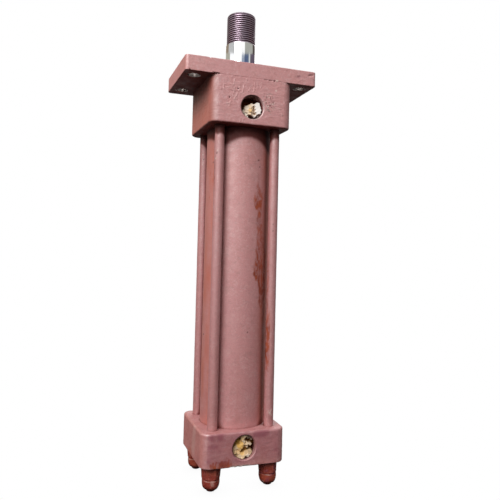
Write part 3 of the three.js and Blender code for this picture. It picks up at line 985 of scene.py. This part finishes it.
# Each blob or pit: height over the cap, bearing in degrees, radius and lift, the rest in millimetres.
TIE_ROD_MARKS = {
    "front_left": [
        (312, -40, 1.3, 0.3), (309, -46, 1.2, -0.2), (283, -30, 0.9, 0.2), (247, -30, 0.9, 0.25),
        (303, -60, 1.4, 0.2),
    ],
    "front_right": [(274, -12, 1.2, 0.15), (232, -16, 1.0, -0.25), (224, -15, 0.9, -0.2)],
    "rear_left": [(318, -32, 1.2, 0.25), (312, -20, 1.0, -0.2), (306, -34, 1.0, 0.2)],
    "rear_right": [],
}


def tie_rod(corner, seed):
    node = f"tie_rod_{corner}"
    low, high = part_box(node)
    middle = (low + high) / 2
    radius = high.x - middle.x - 0.08 * MM
    dome = 3.4 * MM
    foot = low.z + 0.1 * MM
    bends = np.linspace(0, math.pi / 2, 9)
    profile = [(radius - dome + dome * math.sin(b), foot + 0.8 * dome * (1 - math.cos(b))) for b in bends]
    obj = turned(node + "_look", divided(profile + [(radius, high.z)], 1.5 * MM), 48, middle)
    points = points_of(obj)
    lumps = 0.05 * grain(points, 5, 5, 18, seed) + 0.05 * noise(points, 2.6 * MM, seed + 1)
    dark = np.zeros(len(points))
    light = np.zeros(len(points))
    # Raised blobs, and the crossed ridges below, get a painted highlight in "light"; pits are dark.
    for height, degrees, size, lift in TIE_ROD_MARKS[corner]:
        blob = spot(points, round_side(degrees, radius, height, middle), size * MM)
        lumps += lift * blob
        dark = np.maximum(dark, blob * (lift < 0))
        light = np.maximum(light, 0.7 * blob * (lift > 0.18))
    if corner == "front_right":
        crossed = crossed_ridges(points, middle.x, middle.y - radius, CAP_TOP + 16 * MM)
        lumps += 0.3 * crossed
        light = np.maximum(light, 0.8 * crossed)
    push(obj, lumps * MM)
    facing = bearing(points, middle)
    z = (points[:, 2] - CAP_TOP) / MM
    tail = ramp(-points[:, 2], -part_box(f"lock_nut_{corner}")[0].z - 0.5 * MM, -2 * MM)
    store(
        obj,
        chip=0.85 * np.maximum(dark, 0.4 * tail),
        pale=light,
        rust=strongest(0.6 * tail, *tie_rod_rust(corner, facing, z)),
        # Painted shadow under the head, a light painted shade over the whole rod, and more towards the
        # rear-left rod's top.
        shade=np.maximum(head_shade(points), 0.16 + (corner == "rear_left") * 0.2 * ramp(z, 230, 320)),
    )
    dress(obj, node)


def tie_rod_rust(corner, facing, z):
    """Patches of rust down the left sides of the front tie rods."""
    if corner == "front_right":
        return [ramp(-facing, 12, 40) * band(z, 96, 50), 0.6 * ramp(-facing, 40, 65) * band(z, 153, 60)]
    if corner == "front_left":
        return [0.6 * ramp(-facing, 55, 75) * band(z, 283, 30)]
    return []


def crossed_ridges(points, x, y, z):
    """Two short crossed ridges of thick paint."""
    first = stroke_on(points, (x - 3.2 * MM, y, z + 2 * MM), (x + 1.8 * MM, y, z - 3 * MM), 1.0 * MM)
    second = stroke_on(points, (x + 1.6 * MM, y, z + 3.5 * MM), (x - 0.8 * MM, y, z - MM), 0.9 * MM)
    return np.maximum(first, second)


def painted_nut(node, flats, turn, ends, drip, seed):
    """A nut under thick paint. ends says how far out its corners reach, drip how far paint hangs below it."""
    low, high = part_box(node)
    middle = (low + high) / 2
    low.z -= drip
    around = 132
    angle = np.arange(around) * TURN / around
    flat_sides = hexagon(flats, angle, turn)
    shares = np.linspace(0, 1, 34)
    rows = [circle(TIE_ROD + GAP, low.z, around, middle)]
    for share, reach in zip(shares, ends(shares)):
        sag = 0.35 * MM * np.sin(angle * 3 + seed) * (1 - share)
        radius = rounded_least(flat_sides, reach * MM + sag, 3.5 / MM)
        rows.append(circle(radius, low.z + share * (high.z - low.z), around, middle))
    rows.append(circle(TIE_ROD + GAP, high.z, around, middle))
    obj = new_object(node + "_look", *loft(rows, joined=True))
    points = points_of(obj)
    push(obj, (0.12 * noise(points, 4.5 * MM, seed) + 0.06 * noise(points, 1.8 * MM, seed + 1)) * MM)
    store(obj, **nut_finish(points_of(obj), node, low.z, high.z, seed))
    dress(obj, node, sharp=60)


def nut_finish(points, node, low, high, seed):
    z = points[:, 2]
    lock = node.startswith("lock")

    def patches(size, offset, first, last):
        return ramp(noise(points, size * MM, seed + offset), first, last)

    wavy = z + 0.6 * MM * noise(points, 4 * MM, seed + 2)
    # A painted highlight along the lock nut's top rim, where it meets the nut above.
    joint = lock * ramp(-np.abs(wavy - high + 0.9 * MM), -0.9 * MM, -0.2 * MM) * patches(5, 6, -0.5, 0.4)
    # Painted shade on the lock nut's foot and on the upper nut's top against the cap, with dark patches on the
    # upper nut.
    if lock:
        shaded = ramp(low + 4.2 * MM - z, 0, 2.5 * MM)
    else:
        shaded = 0.7 * ramp(z, high - 7 * MM, high - MM) + 0.4 * patches(3, 7, 0.2, 0.7)
    return {
        "rust": 0.5 * patches(6, 4, 0.1, 0.7),
        "warm": 0.5 * (lock and not node.endswith("front_left")),
        "violet": 0.6 * patches(4, 5, 0.1, 0.6) * node.endswith("right"),
        "pale": np.maximum(0.5 * joint, 0.3 * patches(5, 3, 0.45, 0.8)),
        "chip": 0.55 * shaded,
    }


def upper_nut_ends(share):
    """Radius in millimetres against height: narrow at the joint of the nuts, widest against the cap."""
    return 10.0 + 1.6 * share ** 0.8 - 0.5 * ramp(-share, -0.06, 0) - 0.5 * ramp(share, 0.94, 1)


def lower_nut_ends(share):
    """Radius in millimetres against height: a round foot under drips of paint, then nearly straight."""
    round_foot = np.sqrt(np.clip(1 - (1 - np.clip(share / 0.75, 0, 1)) ** 2, 0, 1))
    return 5.9 + 4.0 * round_foot + 0.2 * share - 0.4 * ramp(share, 0.9, 1)


def nuts():
    """Each pair of nuts, turned by a few degrees of their own from the view."""
    towards_view = VIEW_AZIMUTH - math.pi / 2
    for i, (corner, upper, lower) in enumerate(zip(CORNERS, (4, 12, 9, 21), (-8, -6, -14, 8))):
        turn = towards_view + math.radians(upper)
        painted_nut(f"tie_rod_nut_{corner}", 19.4 * MM, turn, upper_nut_ends, 0.0, 100 + 10 * i)
        turn = towards_view + math.radians(lower)
        painted_nut(f"lock_nut_{corner}", 19.0 * MM, turn, lower_nut_ends, 2.2 * MM, 150 + 10 * i)


# ---------------- rod

def thread_rows(foot, top, around):
    """Rows up an outside thread that fades in at its foot and is rounded off at its top."""
    angle = np.arange(around) / around
    rows = []
    start = 0.3 * MM
    height = foot + start
    while height < top - 0.1 * MM:
        wave = np.abs(((height - foot) / THREAD_PITCH - angle) % 1 * 2 - 1)
        fade = min(1, (height - foot - start) / (1.2 * MM))
        radius = THREAD_RADIUS - THREAD_DEPTH * ramp(wave, 0.2, 0.85) * fade
        rounding = THREAD_RADIUS - TIP + math.sqrt(max(0.0, TIP ** 2 - max(0.0, height - top + TIP) ** 2))
        rows.append(circle(np.minimum(radius, rounding), height, around))
        height += THREAD_PITCH / 14
    return rows


def piston_rod():
    node = "piston_rod"
    around = 120
    top = rod_high.z
    thread_foot = top - ROD_THREAD
    spigot = 12 * MM
    centre_drill = 1.2 * MM
    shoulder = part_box("piston")[1].z
    start = [(0.4 * spigot, rod_low.z), (spigot - MM, rod_low.z), (spigot, rod_low.z + MM)]
    start += [(spigot, shoulder), (ROD, shoulder), (ROD, thread_foot - 0.5 * MM)]
    start += [(THREAD_RADIUS + 0.1 * MM, thread_foot)]
    end = [(THREAD_RADIUS - TIP, top), (4.5 * MM, top), (4.2 * MM, top - 0.3 * MM)]
    end += [(centre_drill, top - 4.6 * MM), (centre_drill, top - 7 * MM)]
    rows = [circle(r, z, around) for r, z in divided(softened(start, 0.25 * MM), 6 * MM)]
    rows += thread_rows(thread_foot, top, around)
    rows += [circle(r, z, around) for r, z in divided(softened(end, 0.3 * MM), 2 * MM)]
    obj = new_object(node + "_look", *loft(rows))
    x, y, z = points_of(obj).T
    crest = ramp(np.hypot(x, y), THREAD_RADIUS - 0.6 * THREAD_DEPTH, THREAD_RADIUS - 0.1 * THREAD_DEPTH)
    crest = np.maximum(crest, 0.8 * ramp(z, top - TIP, top - 0.6 * TIP))
    store(obj, steel=ramp(z, thread_foot - 0.3 * MM, thread_foot + 0.1 * MM), crest=crest)
    dress(obj, node, sharp=45)


# ---------------- gland and fasteners

def retainer_plate():
    node = "gland_retainer_plate"
    obj = sleeve(node + "_look", 22 * MM, plate_high.x, plate_low.z, plate_high.z, 0.4 * MM, 144)
    hole = SMALL_SCREW_HOLE
    tools = []
    for side in RETAINER_SIDES:
        middle = centre_of(f"retainer_screw_{side}")
        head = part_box(f"retainer_screw_{side}")[1].x - middle.x + GAP
        profile = [(hole, plate_low.z - MM), (hole, plate_high.z - head + hole)]
        tools.append(turned("tool", profile + [(head + MM, plate_high.z + MM)], 48, middle))
    boolean(obj, tools)
    dress(obj, node)


def hexagon_pocket(flats, low, high, centre, turn):
    """A six-sided tool with a pointed floor, as a broached key socket has."""
    around = 60
    radius = hexagon(flats, np.arange(around) * TURN / around, turn)
    rows = [circle(0.3 * radius, low - 0.2 * flats, around, centre), circle(radius, low, around, centre)]
    rows += [circle(radius, high, around, centre)]
    return new_object("tool", *loft(rows))


def socket_screws():
    """The screws that hold the flange: a knurled head with a hexagon socket."""
    around = 144
    thread = 5 * MM
    teeth = 0.12 * MM * np.abs(np.arange(around) / around * 36 % 1 * 2 - 1)
    for i, corner in enumerate(CORNERS):
        node = f"flange_screw_{corner}"
        low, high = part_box(node)
        middle = (low + high) / 2
        head = high.x - middle.x
        profile = [(0.5 * thread, low.z), (thread - MM, low.z), (thread, low.z + MM), (thread, SCREW_SEAT)]
        profile += [(head, SCREW_SEAT), (head, high.z - 0.8 * MM), (head - 0.8 * MM, high.z)]
        profile += [(5 * MM, high.z)]
        rows = []
        for radius, height in divided(softened(profile, 0.3 * MM), MM):
            knurled = (radius > head - 0.1 * MM) and (height < high.z - 1.5 * MM)
            rows.append(circle(radius - teeth * knurled, height, around, middle))
        obj = new_object(node + "_look", *loft(rows))
        boolean(obj, [hexagon_pocket(8 * MM, SCREW_SEAT + 4.5 * MM, high.z + MM, middle, 0.4 * i)])
        dress(obj, node)


def countersunk_screws():
    """The screws that hold the retainer plate."""
    thread = 2.5 * MM
    for i, side in enumerate(RETAINER_SIDES):
        node = f"retainer_screw_{side}"
        low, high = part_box(node)
        middle = (low + high) / 2
        head = high.x - middle.x
        profile = [(0.5 * thread, low.z), (thread - 0.5 * MM, low.z), (thread, low.z + 0.5 * MM)]
        profile += [(thread, high.z - head + thread), (head, high.z - 0.25 * MM), (head - 0.25 * MM, high.z)]
        profile += [(2.4 * MM, high.z)]
        obj = turned(node + "_look", divided(softened(profile, 0.15 * MM), MM), 60, middle)
        boolean(obj, [hexagon_pocket(3 * MM, high.z - 2 * MM, high.z + MM, middle, 0.7 * i)])
        dress(obj, node)


def piston_nut():
    """A hexagon nut with both ends chamfered."""
    node = "piston_nut"
    low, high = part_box(node)
    middle = (low + high) / 2
    around = 120
    bore = 12 * MM + GAP
    flats = 36 * MM
    washer = 0.97 * flats / 2
    flat_sides = hexagon(flats, np.arange(around) * TURN / around, 0.2)
    height = high.z - low.z
    depths = np.array([0, 0.1, 0.25, 0.45, 0.7, 1.0, 1.4, 2.0, 3.0]) * MM
    depths = depths[depths < height / 2]
    rows = [circle(bore, low.z, around, middle), circle(washer * 0.9, low.z, around, middle)]
    for up in np.concatenate([depths, [height / 2], height - depths[::-1]]):
        cone = washer + min(up, height - up) * math.sqrt(3)
        rows.append(circle(rounded_least(flat_sides, cone, 9 / MM), low.z + up, around, middle))
    rows += [circle(washer * 0.9, high.z, around, middle), circle(bore, high.z, around, middle)]
    dress(new_object(node + "_look", *loft(rows, joined=True)), node, sharp=40)


# ---------------- rings about the rod's axis

def ring_profile(node):
    """The closed (radius, height) outline of a CAD ring's section where it crosses the +X side."""
    mesh = frame["nodes"][node].data
    places = [tuple(round(c * 1e6) for c in vertex.co) for vertex in mesh.vertices]
    beside = {}
    for edge in mesh.edges:
        a, b = (places[i] for i in edge.vertices)
        if a != b and a[1] == b[1] == 0 and a[0] > 0 and b[0] > 0:
            beside.setdefault(a, set()).add(b)
            beside.setdefault(b, set()).add(a)
    start = min(beside)
    loop, last = [start], None
    while True:
        ahead = sorted(beside[loop[-1]] - {last})
        last = loop[-1]
        if ahead[0] == start or ahead[-1] == start and len(loop) > 2:
            break
        loop.append(ahead[0])
    profile = [(x * 1e-6, z * 1e-6) for x, _, z in loop]
    area = sum(a[0] * b[1] - b[0] * a[1] for a, b in zip(profile, profile[1:] + profile[:1]))
    return profile if area > 0 else profile[::-1]


def rings():
    """Every ring, each edge rounded by its radius in millimetres."""
    soft = {"gland_bush": 0.3, "piston": 0.5, "wiper_seal": 0.6, "rod_seal": 0.8, "piston_seal": 0.8}
    nodes = ["gland_bush", "rod_wear_ring", "rod_seal", "wiper_seal", "gland_o_ring"]
    nodes += ["barrel_end_seal_cap", "barrel_end_seal_head", "piston", "piston_seal", "piston_wear_ring_lower"]
    nodes += ["piston_wear_ring_upper", "piston_o_ring"]
    for node in nodes:
        profile = softened(ring_profile(node), soft.get(node, 0.25) * MM, joined=True)
        dress(turned(node + "_look", profile, 128, joined=True), node)


# ---------------- paper in the ports

def facets(x, z, folds, seed):
    """Depth, tint and painted shade of screwed-up paper made of flat facets, at points across a port.

    Each fold is (x, z, depth, slope along x, slope along z, tint, painted shade), all in shares of the port's
    radius or from 0 to 1. A point belongs to the nearest fold, over crooked borders."""
    flat = np.column_stack([x, z, np.full(len(x), 0.1 * seed)])
    crooked_x = x + 0.04 * noise(flat, 0.2, seed)
    crooked_z = z + 0.04 * noise(flat, 0.2, seed + 1)
    fold_x, fold_z, depth, along_x, along_z, tint, grime = np.array(folds, float).T
    away = np.hypot(crooked_x[:, None] - fold_x, crooked_z[:, None] - fold_z)
    share = np.exp(-55 * (away - away.min(axis=1, keepdims=True)))
    share /= share.sum(axis=1, keepdims=True)
    planes = depth + (x[:, None] - fold_x) * along_x + (z[:, None] - fold_z) * along_z
    creases = 0.03 * np.abs(noise(flat, 0.3, seed + 2)) + 0.015 * np.abs(noise(flat, 0.13, seed + 3))
    return (share * planes).sum(axis=1) + creases, share @ tint, share @ grime


def flat_folds(tint, *places):
    """Folds of one tint without slope, from (x, z, depth, painted shade)."""
    return [(x, z, depth, 0, 0, tint, grime) for x, z, depth, grime in places]


def flap(*places):
    """Folds that all lie in one clean white plane, from (x, z)."""
    along_x, along_z = -0.1, 0.12
    return [(x, z, 0.203 + along_x * x + along_z * z, along_x, along_z, 1.0, 0.0) for x, z in places]


def paper_wad(node, port, folds, seed):
    """A wad that fills a port, its front folded into the given facets."""
    low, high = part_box(node)
    around, steps_in = 144, 60
    radius = PORT - 0.3 * MM
    front_face = low.y - 1.6 * MM
    depth = high.y - front_face
    front = np.array([circle(radius * max(i, 0.5) / steps_in, 0.0, around) for i in range(steps_in + 1)])
    flat = front.reshape(-1, 3)
    sink, tint, grime = facets(flat[:, 0] / radius, -flat[:, 1] / radius, folds, seed)
    flat[:, 2] = depth * np.clip(sink, 0.0, 0.92)
    rim = [circle(radius * share, depth * at, around) for share, at in ((0.97, 0.95), (0.8, 1.0), (0.3, 1.0))]
    obj = new_object(node + "_look", *loft(np.concatenate([front, np.array(rim)])))
    lay_to_front(obj, front_face, port)
    obj.data.flip_normals()
    rest = np.zeros(len(obj.data.vertices) - len(tint))
    store(obj, tint=np.concatenate([tint, rest]), grime=np.concatenate([grime, rest]))
    dress(obj, node, sharp=25)


UPPER_FOLDS = [
    *flat_folds(  # painted shade: the dark space over the paper
        0.3,
        (-0.6, 0.85, 0.9, 1), (-0.1, 0.85, 0.9, 1), (0.3, 0.8, 0.9, 1), (0.75, 0.75, 0.9, 1),
        (-0.95, 0.35, 0.9, 1), (-0.62, 0.45, 0.85, 1), (-0.25, 0.55, 0.85, 1), (0.15, 0.6, 0.85, 1),
        (-0.85, -0.05, 0.8, 0.95), (1.04, 0.1, 0.85, 0.9), (1.02, -0.4, 0.85, 0.9), (0.95, 0.45, 0.85, 0.95),
    ),
    *flap(
        (0.42, 0.25), (0.62, 0.12), (0.6, 0.38), (0.74, -0.15), (0.55, -0.2), (0.42, 0.0), (0.43, -0.27),
        (0.5, -0.48), (0.72, -0.4),
    ),
    *flat_folds(0.6, (0.27, 0.06, 0.4, 0.4), (0.29, -0.2, 0.42, 0.4), (0.34, -0.46, 0.42, 0.5)),
    *flat_folds(0.5, (-0.65, -0.75, 0.7, 0.9), (-0.12, -0.8, 0.75, 0.95), (0.12, -0.86, 0.75, 0.95)),
    *flat_folds(0.9, (-0.32, -0.8, 0.32, 0.05), (0.64, -0.66, 0.32, 0.1)),
    (0.05, 0.3, 0.28, -0.3, 0.3, 0.7, 0.15), (0.12, 0.02, 0.25, 0.3, 0, 0.45, 0.2),
    (-0.1, 0.12, 0.22, -0.3, 0.2, 0.5, 0.1), (-0.12, -0.2, 0.2, -0.2, 0.2, 0.25, 0.05),
    (0.12, -0.3, 0.25, 0.4, 0.1, 0.5, 0.25), (-0.35, -0.02, 0.3, -0.4, 0.3, 0.7, 0.15),
    (-0.38, -0.35, 0.26, -0.3, 0.2, 0.6, 0.15), (-0.66, -0.3, 0.4, -0.3, 0.3, 0.7, 0.3),
    (-0.15, -0.5, 0.22, 0, 0.2, 0.5, 0.0), (-0.45, -0.6, 0.32, -0.2, 0.3, 0.8, 0.1),
    (0.14, -0.56, 0.3, 0.3, 0, 0.7, 0.2), (0.5, -0.86, 0.7, 0, 0, 0.5, 0.9),
    (0.32, -0.7, 0.25, 0, 0, 0.95, 0.0),
]
LOWER_FOLDS = [
    *flat_folds(  # painted shade in dark creases
        0.0,
        (-0.72, 0.5, 0.42, 0.7), (-0.4, 0.75, 0.4, 0.75), (-0.92, 0.15, 0.42, 0.75), (-0.5, 0.42, 0.36, 0.5),
        (0.24, 0.66, 0.5, 0.9), (0.5, 0.52, 0.55, 0.95), (0.8, 0.38, 0.5, 0.9), (0.2, -0.2, 0.45, 0.75),
        (-0.08, -0.34, 0.45, 0.75), (0.5, -0.12, 0.65, 0.95), (0.8, -0.05, 0.7, 1.0),
    ),
    (0.12, 0.86, 0.1, 0.1, -0.2, 0.45, 0.0), (0.32, 0.93, 0.12, 0.1, -0.2, 0.45, 0.0),
    (-0.1, 0.72, 0.15, -0.3, 0, 0.3, 0.05), (0.45, 0.74, 0.28, 0.2, 0.1, 0.6, 0.45),
    (0.72, 0.6, 0.3, 0.2, 0.1, 0.6, 0.5), (0.02, 0.5, 0.16, 0.1, 0.1, 0.5, 0.0),
    (0.12, 0.28, 0.2, 0.3, 0.1, 0.35, 0.1), (-0.2, 0.34, 0.24, -0.2, 0.3, 0.1, 0.0),
    (-0.42, 0.08, 0.2, -0.3, 0.3, 0.05, 0.0), (-0.2, 0.02, 0.16, 0.1, 0.1, 0.08, 0.0),
    (-0.66, -0.06, 0.28, -0.4, 0.0, 0.4, 0.0), (-0.35, -0.18, 0.2, 0.0, -0.1, 0.2, 0.0),
    (0.32, 0.24, 0.16, 0.1, 0.2, 0.5, 0.0), (0.62, 0.2, 0.2, 0.2, 0.2, 0.55, 0.05),
    (0.1, 0.02, 0.3, 0.5, 0.0, 0.2, 0.3), (0.36, 0.02, 0.3, 0, 0.5, 0.5, 0.15),
    (-0.5, -0.4, 0.28, -0.2, 0.3, 0.3, 0.05), (-0.75, -0.42, 0.28, -0.3, 0.2, 0.3, 0.1),
    (-0.1, -0.58, 0.24, 0, 0.4, 0.15, 0.05), (0.24, -0.5, 0.26, 0.2, 0.3, 0.35, 0.1),
    (0.56, -0.45, 0.3, 0.2, 0.2, 0.4, 0.15), (0.0, -0.82, 0.16, 0, 0.1, 0.4, 0.0),
    (-0.32, -0.8, 0.22, -0.2, 0, 0.45, 0.0), (0.36, -0.82, 0.18, 0.2, 0, 0.7, 0.0),
    (0.22, -0.98, 0.4, 0, 0, 0.1, 0.5), (-0.66, -0.74, 0.35, -0.3, 0, 0.3, 0.4),
]

# ---------------- build

head_block()
flange_plate()
cap_block()
barrel_tube()
for number, corner_name in enumerate(CORNERS):
    tie_rod(corner_name, 200 + 10 * number)
nuts()
piston_rod()
retainer_plate()
socket_screws()
countersunk_screws()
rings()
piston_nut()
paper_wad("port_wad_upper", head_port, UPPER_FOLDS, 5)
paper_wad("port_wad_lower", cap_port, LOWER_FOLDS, 11)

# ---------------- floor, light and camera

WHITE = (1, 1, 1, 1)


def ray(s, kind):
    return s.node("ShaderNodeLightPath", output=f"Is {kind} Ray")


def floor():
    """A floor that the camera sees white with a contact shadow, and the chrome sees darker near the object."""
    size, drop = 6.0, -0.2 * MM
    corners = [(-size, -size, drop), (size, -size, drop), (size, size, drop), (-size, size, drop)]
    obj = new_object("floor", corners, [(0, 1, 2, 3)])
    s = material("pale_floor")
    near = s.node("ShaderNodeAmbientOcclusion", {"Distance": 0.03}, 1)
    away = s.node("ShaderNodeNewGeometry", output="Position")
    away = s.node("ShaderNodeVectorMath", {0: away}, "Value", operation="LENGTH")
    seen = s.node("ShaderNodeEmission", {"Color": WHITE, "Strength": s.span(near, 0.0, 1.0, 0.93, 1.0)})
    glow = {"Color": (1, 0.98, 0.96, 1), "Strength": s.span(away, 0.35, 0.9, 0.02, 0.42)}
    mirrored = s.node("ShaderNodeEmission", glow)
    lit = s.node("ShaderNodeBsdfDiffuse", {"Color": (0.05, 0.045, 0.04, 1)})
    unseen = s.node("ShaderNodeMixShader", {0: ray(s, "Glossy"), 1: lit, 2: mirrored})
    surface = s.node("ShaderNodeMixShader", {0: ray(s, "Camera"), 1: unseen, 2: seen})
    s.node("ShaderNodeOutputMaterial", {"Surface": surface})
    obj.data.materials.append(s.owner)


LOW_EDGE = 12
HIGH_EDGE = 20.27
# Each panel: first and last bearing from the view's own, lowest and highest angle, in degrees, and colour.
ROOM_PANELS = (
    (-180, -108, 1, 60, (0.34, 0.27, 0.2)),
    (-108, -30, 1, 60, (0.62, 0.62, 0.61)),
    (-30, 34, 1, 60, (1.25, 1.24, 1.2)),
    (34, 108, HIGH_EDGE, 60, (0.47, 0.47, 0.42)),
    (108, 180, -10, 60, (0.1, 0.08, 0.07)),
    (-180, -89, LOW_EDGE, HIGH_EDGE, (0.5, 0.48, 0.4)),
    (-89, 10, LOW_EDGE, HIGH_EDGE, (1.3, 1.3, 1.3)),
    (10, 30, LOW_EDGE, HIGH_EDGE, (0.35, 0.4, 0.5)),
    (30, 63, LOW_EDGE, HIGH_EDGE, (0.1, 0.14, 0.25)),
    (63, 72, LOW_EDGE, HIGH_EDGE, (0.3, 0.34, 0.4)),
    (72, 82, LOW_EDGE, HIGH_EDGE, (0.85, 0.85, 0.85)),
    (82, 137, LOW_EDGE, HIGH_EDGE, (0.14, 0.11, 0.15)),
    (-180, 180, 60, 91, (1.2, 1.2, 1.2)),
)


def world():
    """A white backdrop for the camera, soft light from above for paint, a room of panels for the chrome."""
    made = bpy.data.worlds.new("studio")
    made.cycles.sampling_method = "NONE"
    bpy.context.scene.world = made
    s = Shader(made, "Generated")
    x, y, z = [s.node("ShaderNodeSeparateXYZ", {0: s.place}, axis) for axis in "XYZ"]
    turn = s.math("SUBTRACT", s.math("ARCTAN2", x, s.times(y, -1.0)), VIEW_AZIMUTH)
    turn = s.node("ShaderNodeMath", {0: turn, 1: -math.pi, 2: math.pi}, operation="WRAP")
    lift = s.math("ARCSINE", z)

    def between(angle, first, last, soft):
        """1 between two angles, with soft edges, all in degrees."""
        first, last, soft = math.radians(first), math.radians(last), math.radians(soft)
        after = s.span(angle, first - soft, first + soft)
        return s.times(after, s.span(angle, last - soft, last + soft, 1.0, 0.0))

    room = s.mix(s.span(z, -0.1, 0.1), (0.3, 0.29, 0.28, 1), (0.42, 0.4, 0.38, 1))
    for first, last, low, high, colour in ROOM_PANELS:
        panel = s.times(between(turn, first, last, 2.0), between(lift, low, high, 0.06))
        room = s.mix(panel, room, (*colour, 1))
    soft_light = s.mix(s.span(z, -0.12, 0.6), (0.005, 0.004, 0.004, 1), (0.84, 0.83, 0.82, 1))
    side = s.span(x, -0.9, 0.9, 1.1, 0.75)
    side = s.node("ShaderNodeCombineColor", {0: side, 1: side, 2: side})
    soft_light = s.mix(1.0, soft_light, side, "MULTIPLY")
    colour = s.mix(ray(s, "Camera"), s.mix(ray(s, "Glossy"), soft_light, room), WHITE)
    background = s.node("ShaderNodeBackground", {"Color": colour, "Strength": 1.0})
    s.node("ShaderNodeOutputWorld", {"Surface": background})


def studio_light(name, degrees, distance, power):
    """A square lamp at a bearing and a distance, turned to the middle of the object."""
    data = bpy.data.lights.new(name, "AREA")
    data.shape = "SQUARE"
    data.size = 0.9
    data.energy = power
    data.color = (1.0, 0.98, 0.97)
    obj = bpy.data.objects.new(name, data)
    turn = math.radians(degrees)
    obj.location = (distance * math.sin(turn), -distance * math.cos(turn), 1.2)
    obj.rotation_mode = "QUATERNION"
    middle = Vector((0, 0, (flange_high.z + cap_low.z) / 2))
    obj.rotation_quaternion = (middle - obj.location).to_track_quat("-Z", "Y")
    bpy.context.scene.collection.objects.link(obj)


def camera():
    """Almost level, from the front and a little to the left, slightly rolled."""
    elevation, roll = math.radians(-2.366), math.radians(1.361)
    distance = 0.66977
    target = Vector((0.017575, 0, CAP_TOP + 0.2233))
    level_back = Vector((math.sin(VIEW_AZIMUTH), -math.cos(VIEW_AZIMUTH), 0))
    back = level_back * math.cos(elevation) + Vector((0, 0, math.sin(elevation)))
    right = (-back).cross(Vector((0, 0, 1))).normalized()
    up = right.cross(-back)
    rolled_right = right * math.cos(roll) + up * math.sin(roll)
    rolled_up = up * math.cos(roll) - right * math.sin(roll)
    data = bpy.data.cameras.new("camera")
    data.sensor_width = 36
    data.lens = 39.657
    data.shift_y = -0.036
    data.clip_start = 0.01
    obj = bpy.data.objects.new("camera", data)
    turn = Matrix((rolled_right, rolled_up, back)).transposed()
    obj.matrix_world = Matrix.Translation(target + back * distance) @ turn.to_4x4()
    bpy.context.scene.collection.objects.link(obj)
    bpy.context.scene.camera = obj


floor()
world()
studio_light("key", -46, 1.15, 17.5)
studio_light("back", 150, 1.3, 8.0)
camera()
bpy.context.scene.view_settings.view_transform = "Standard"
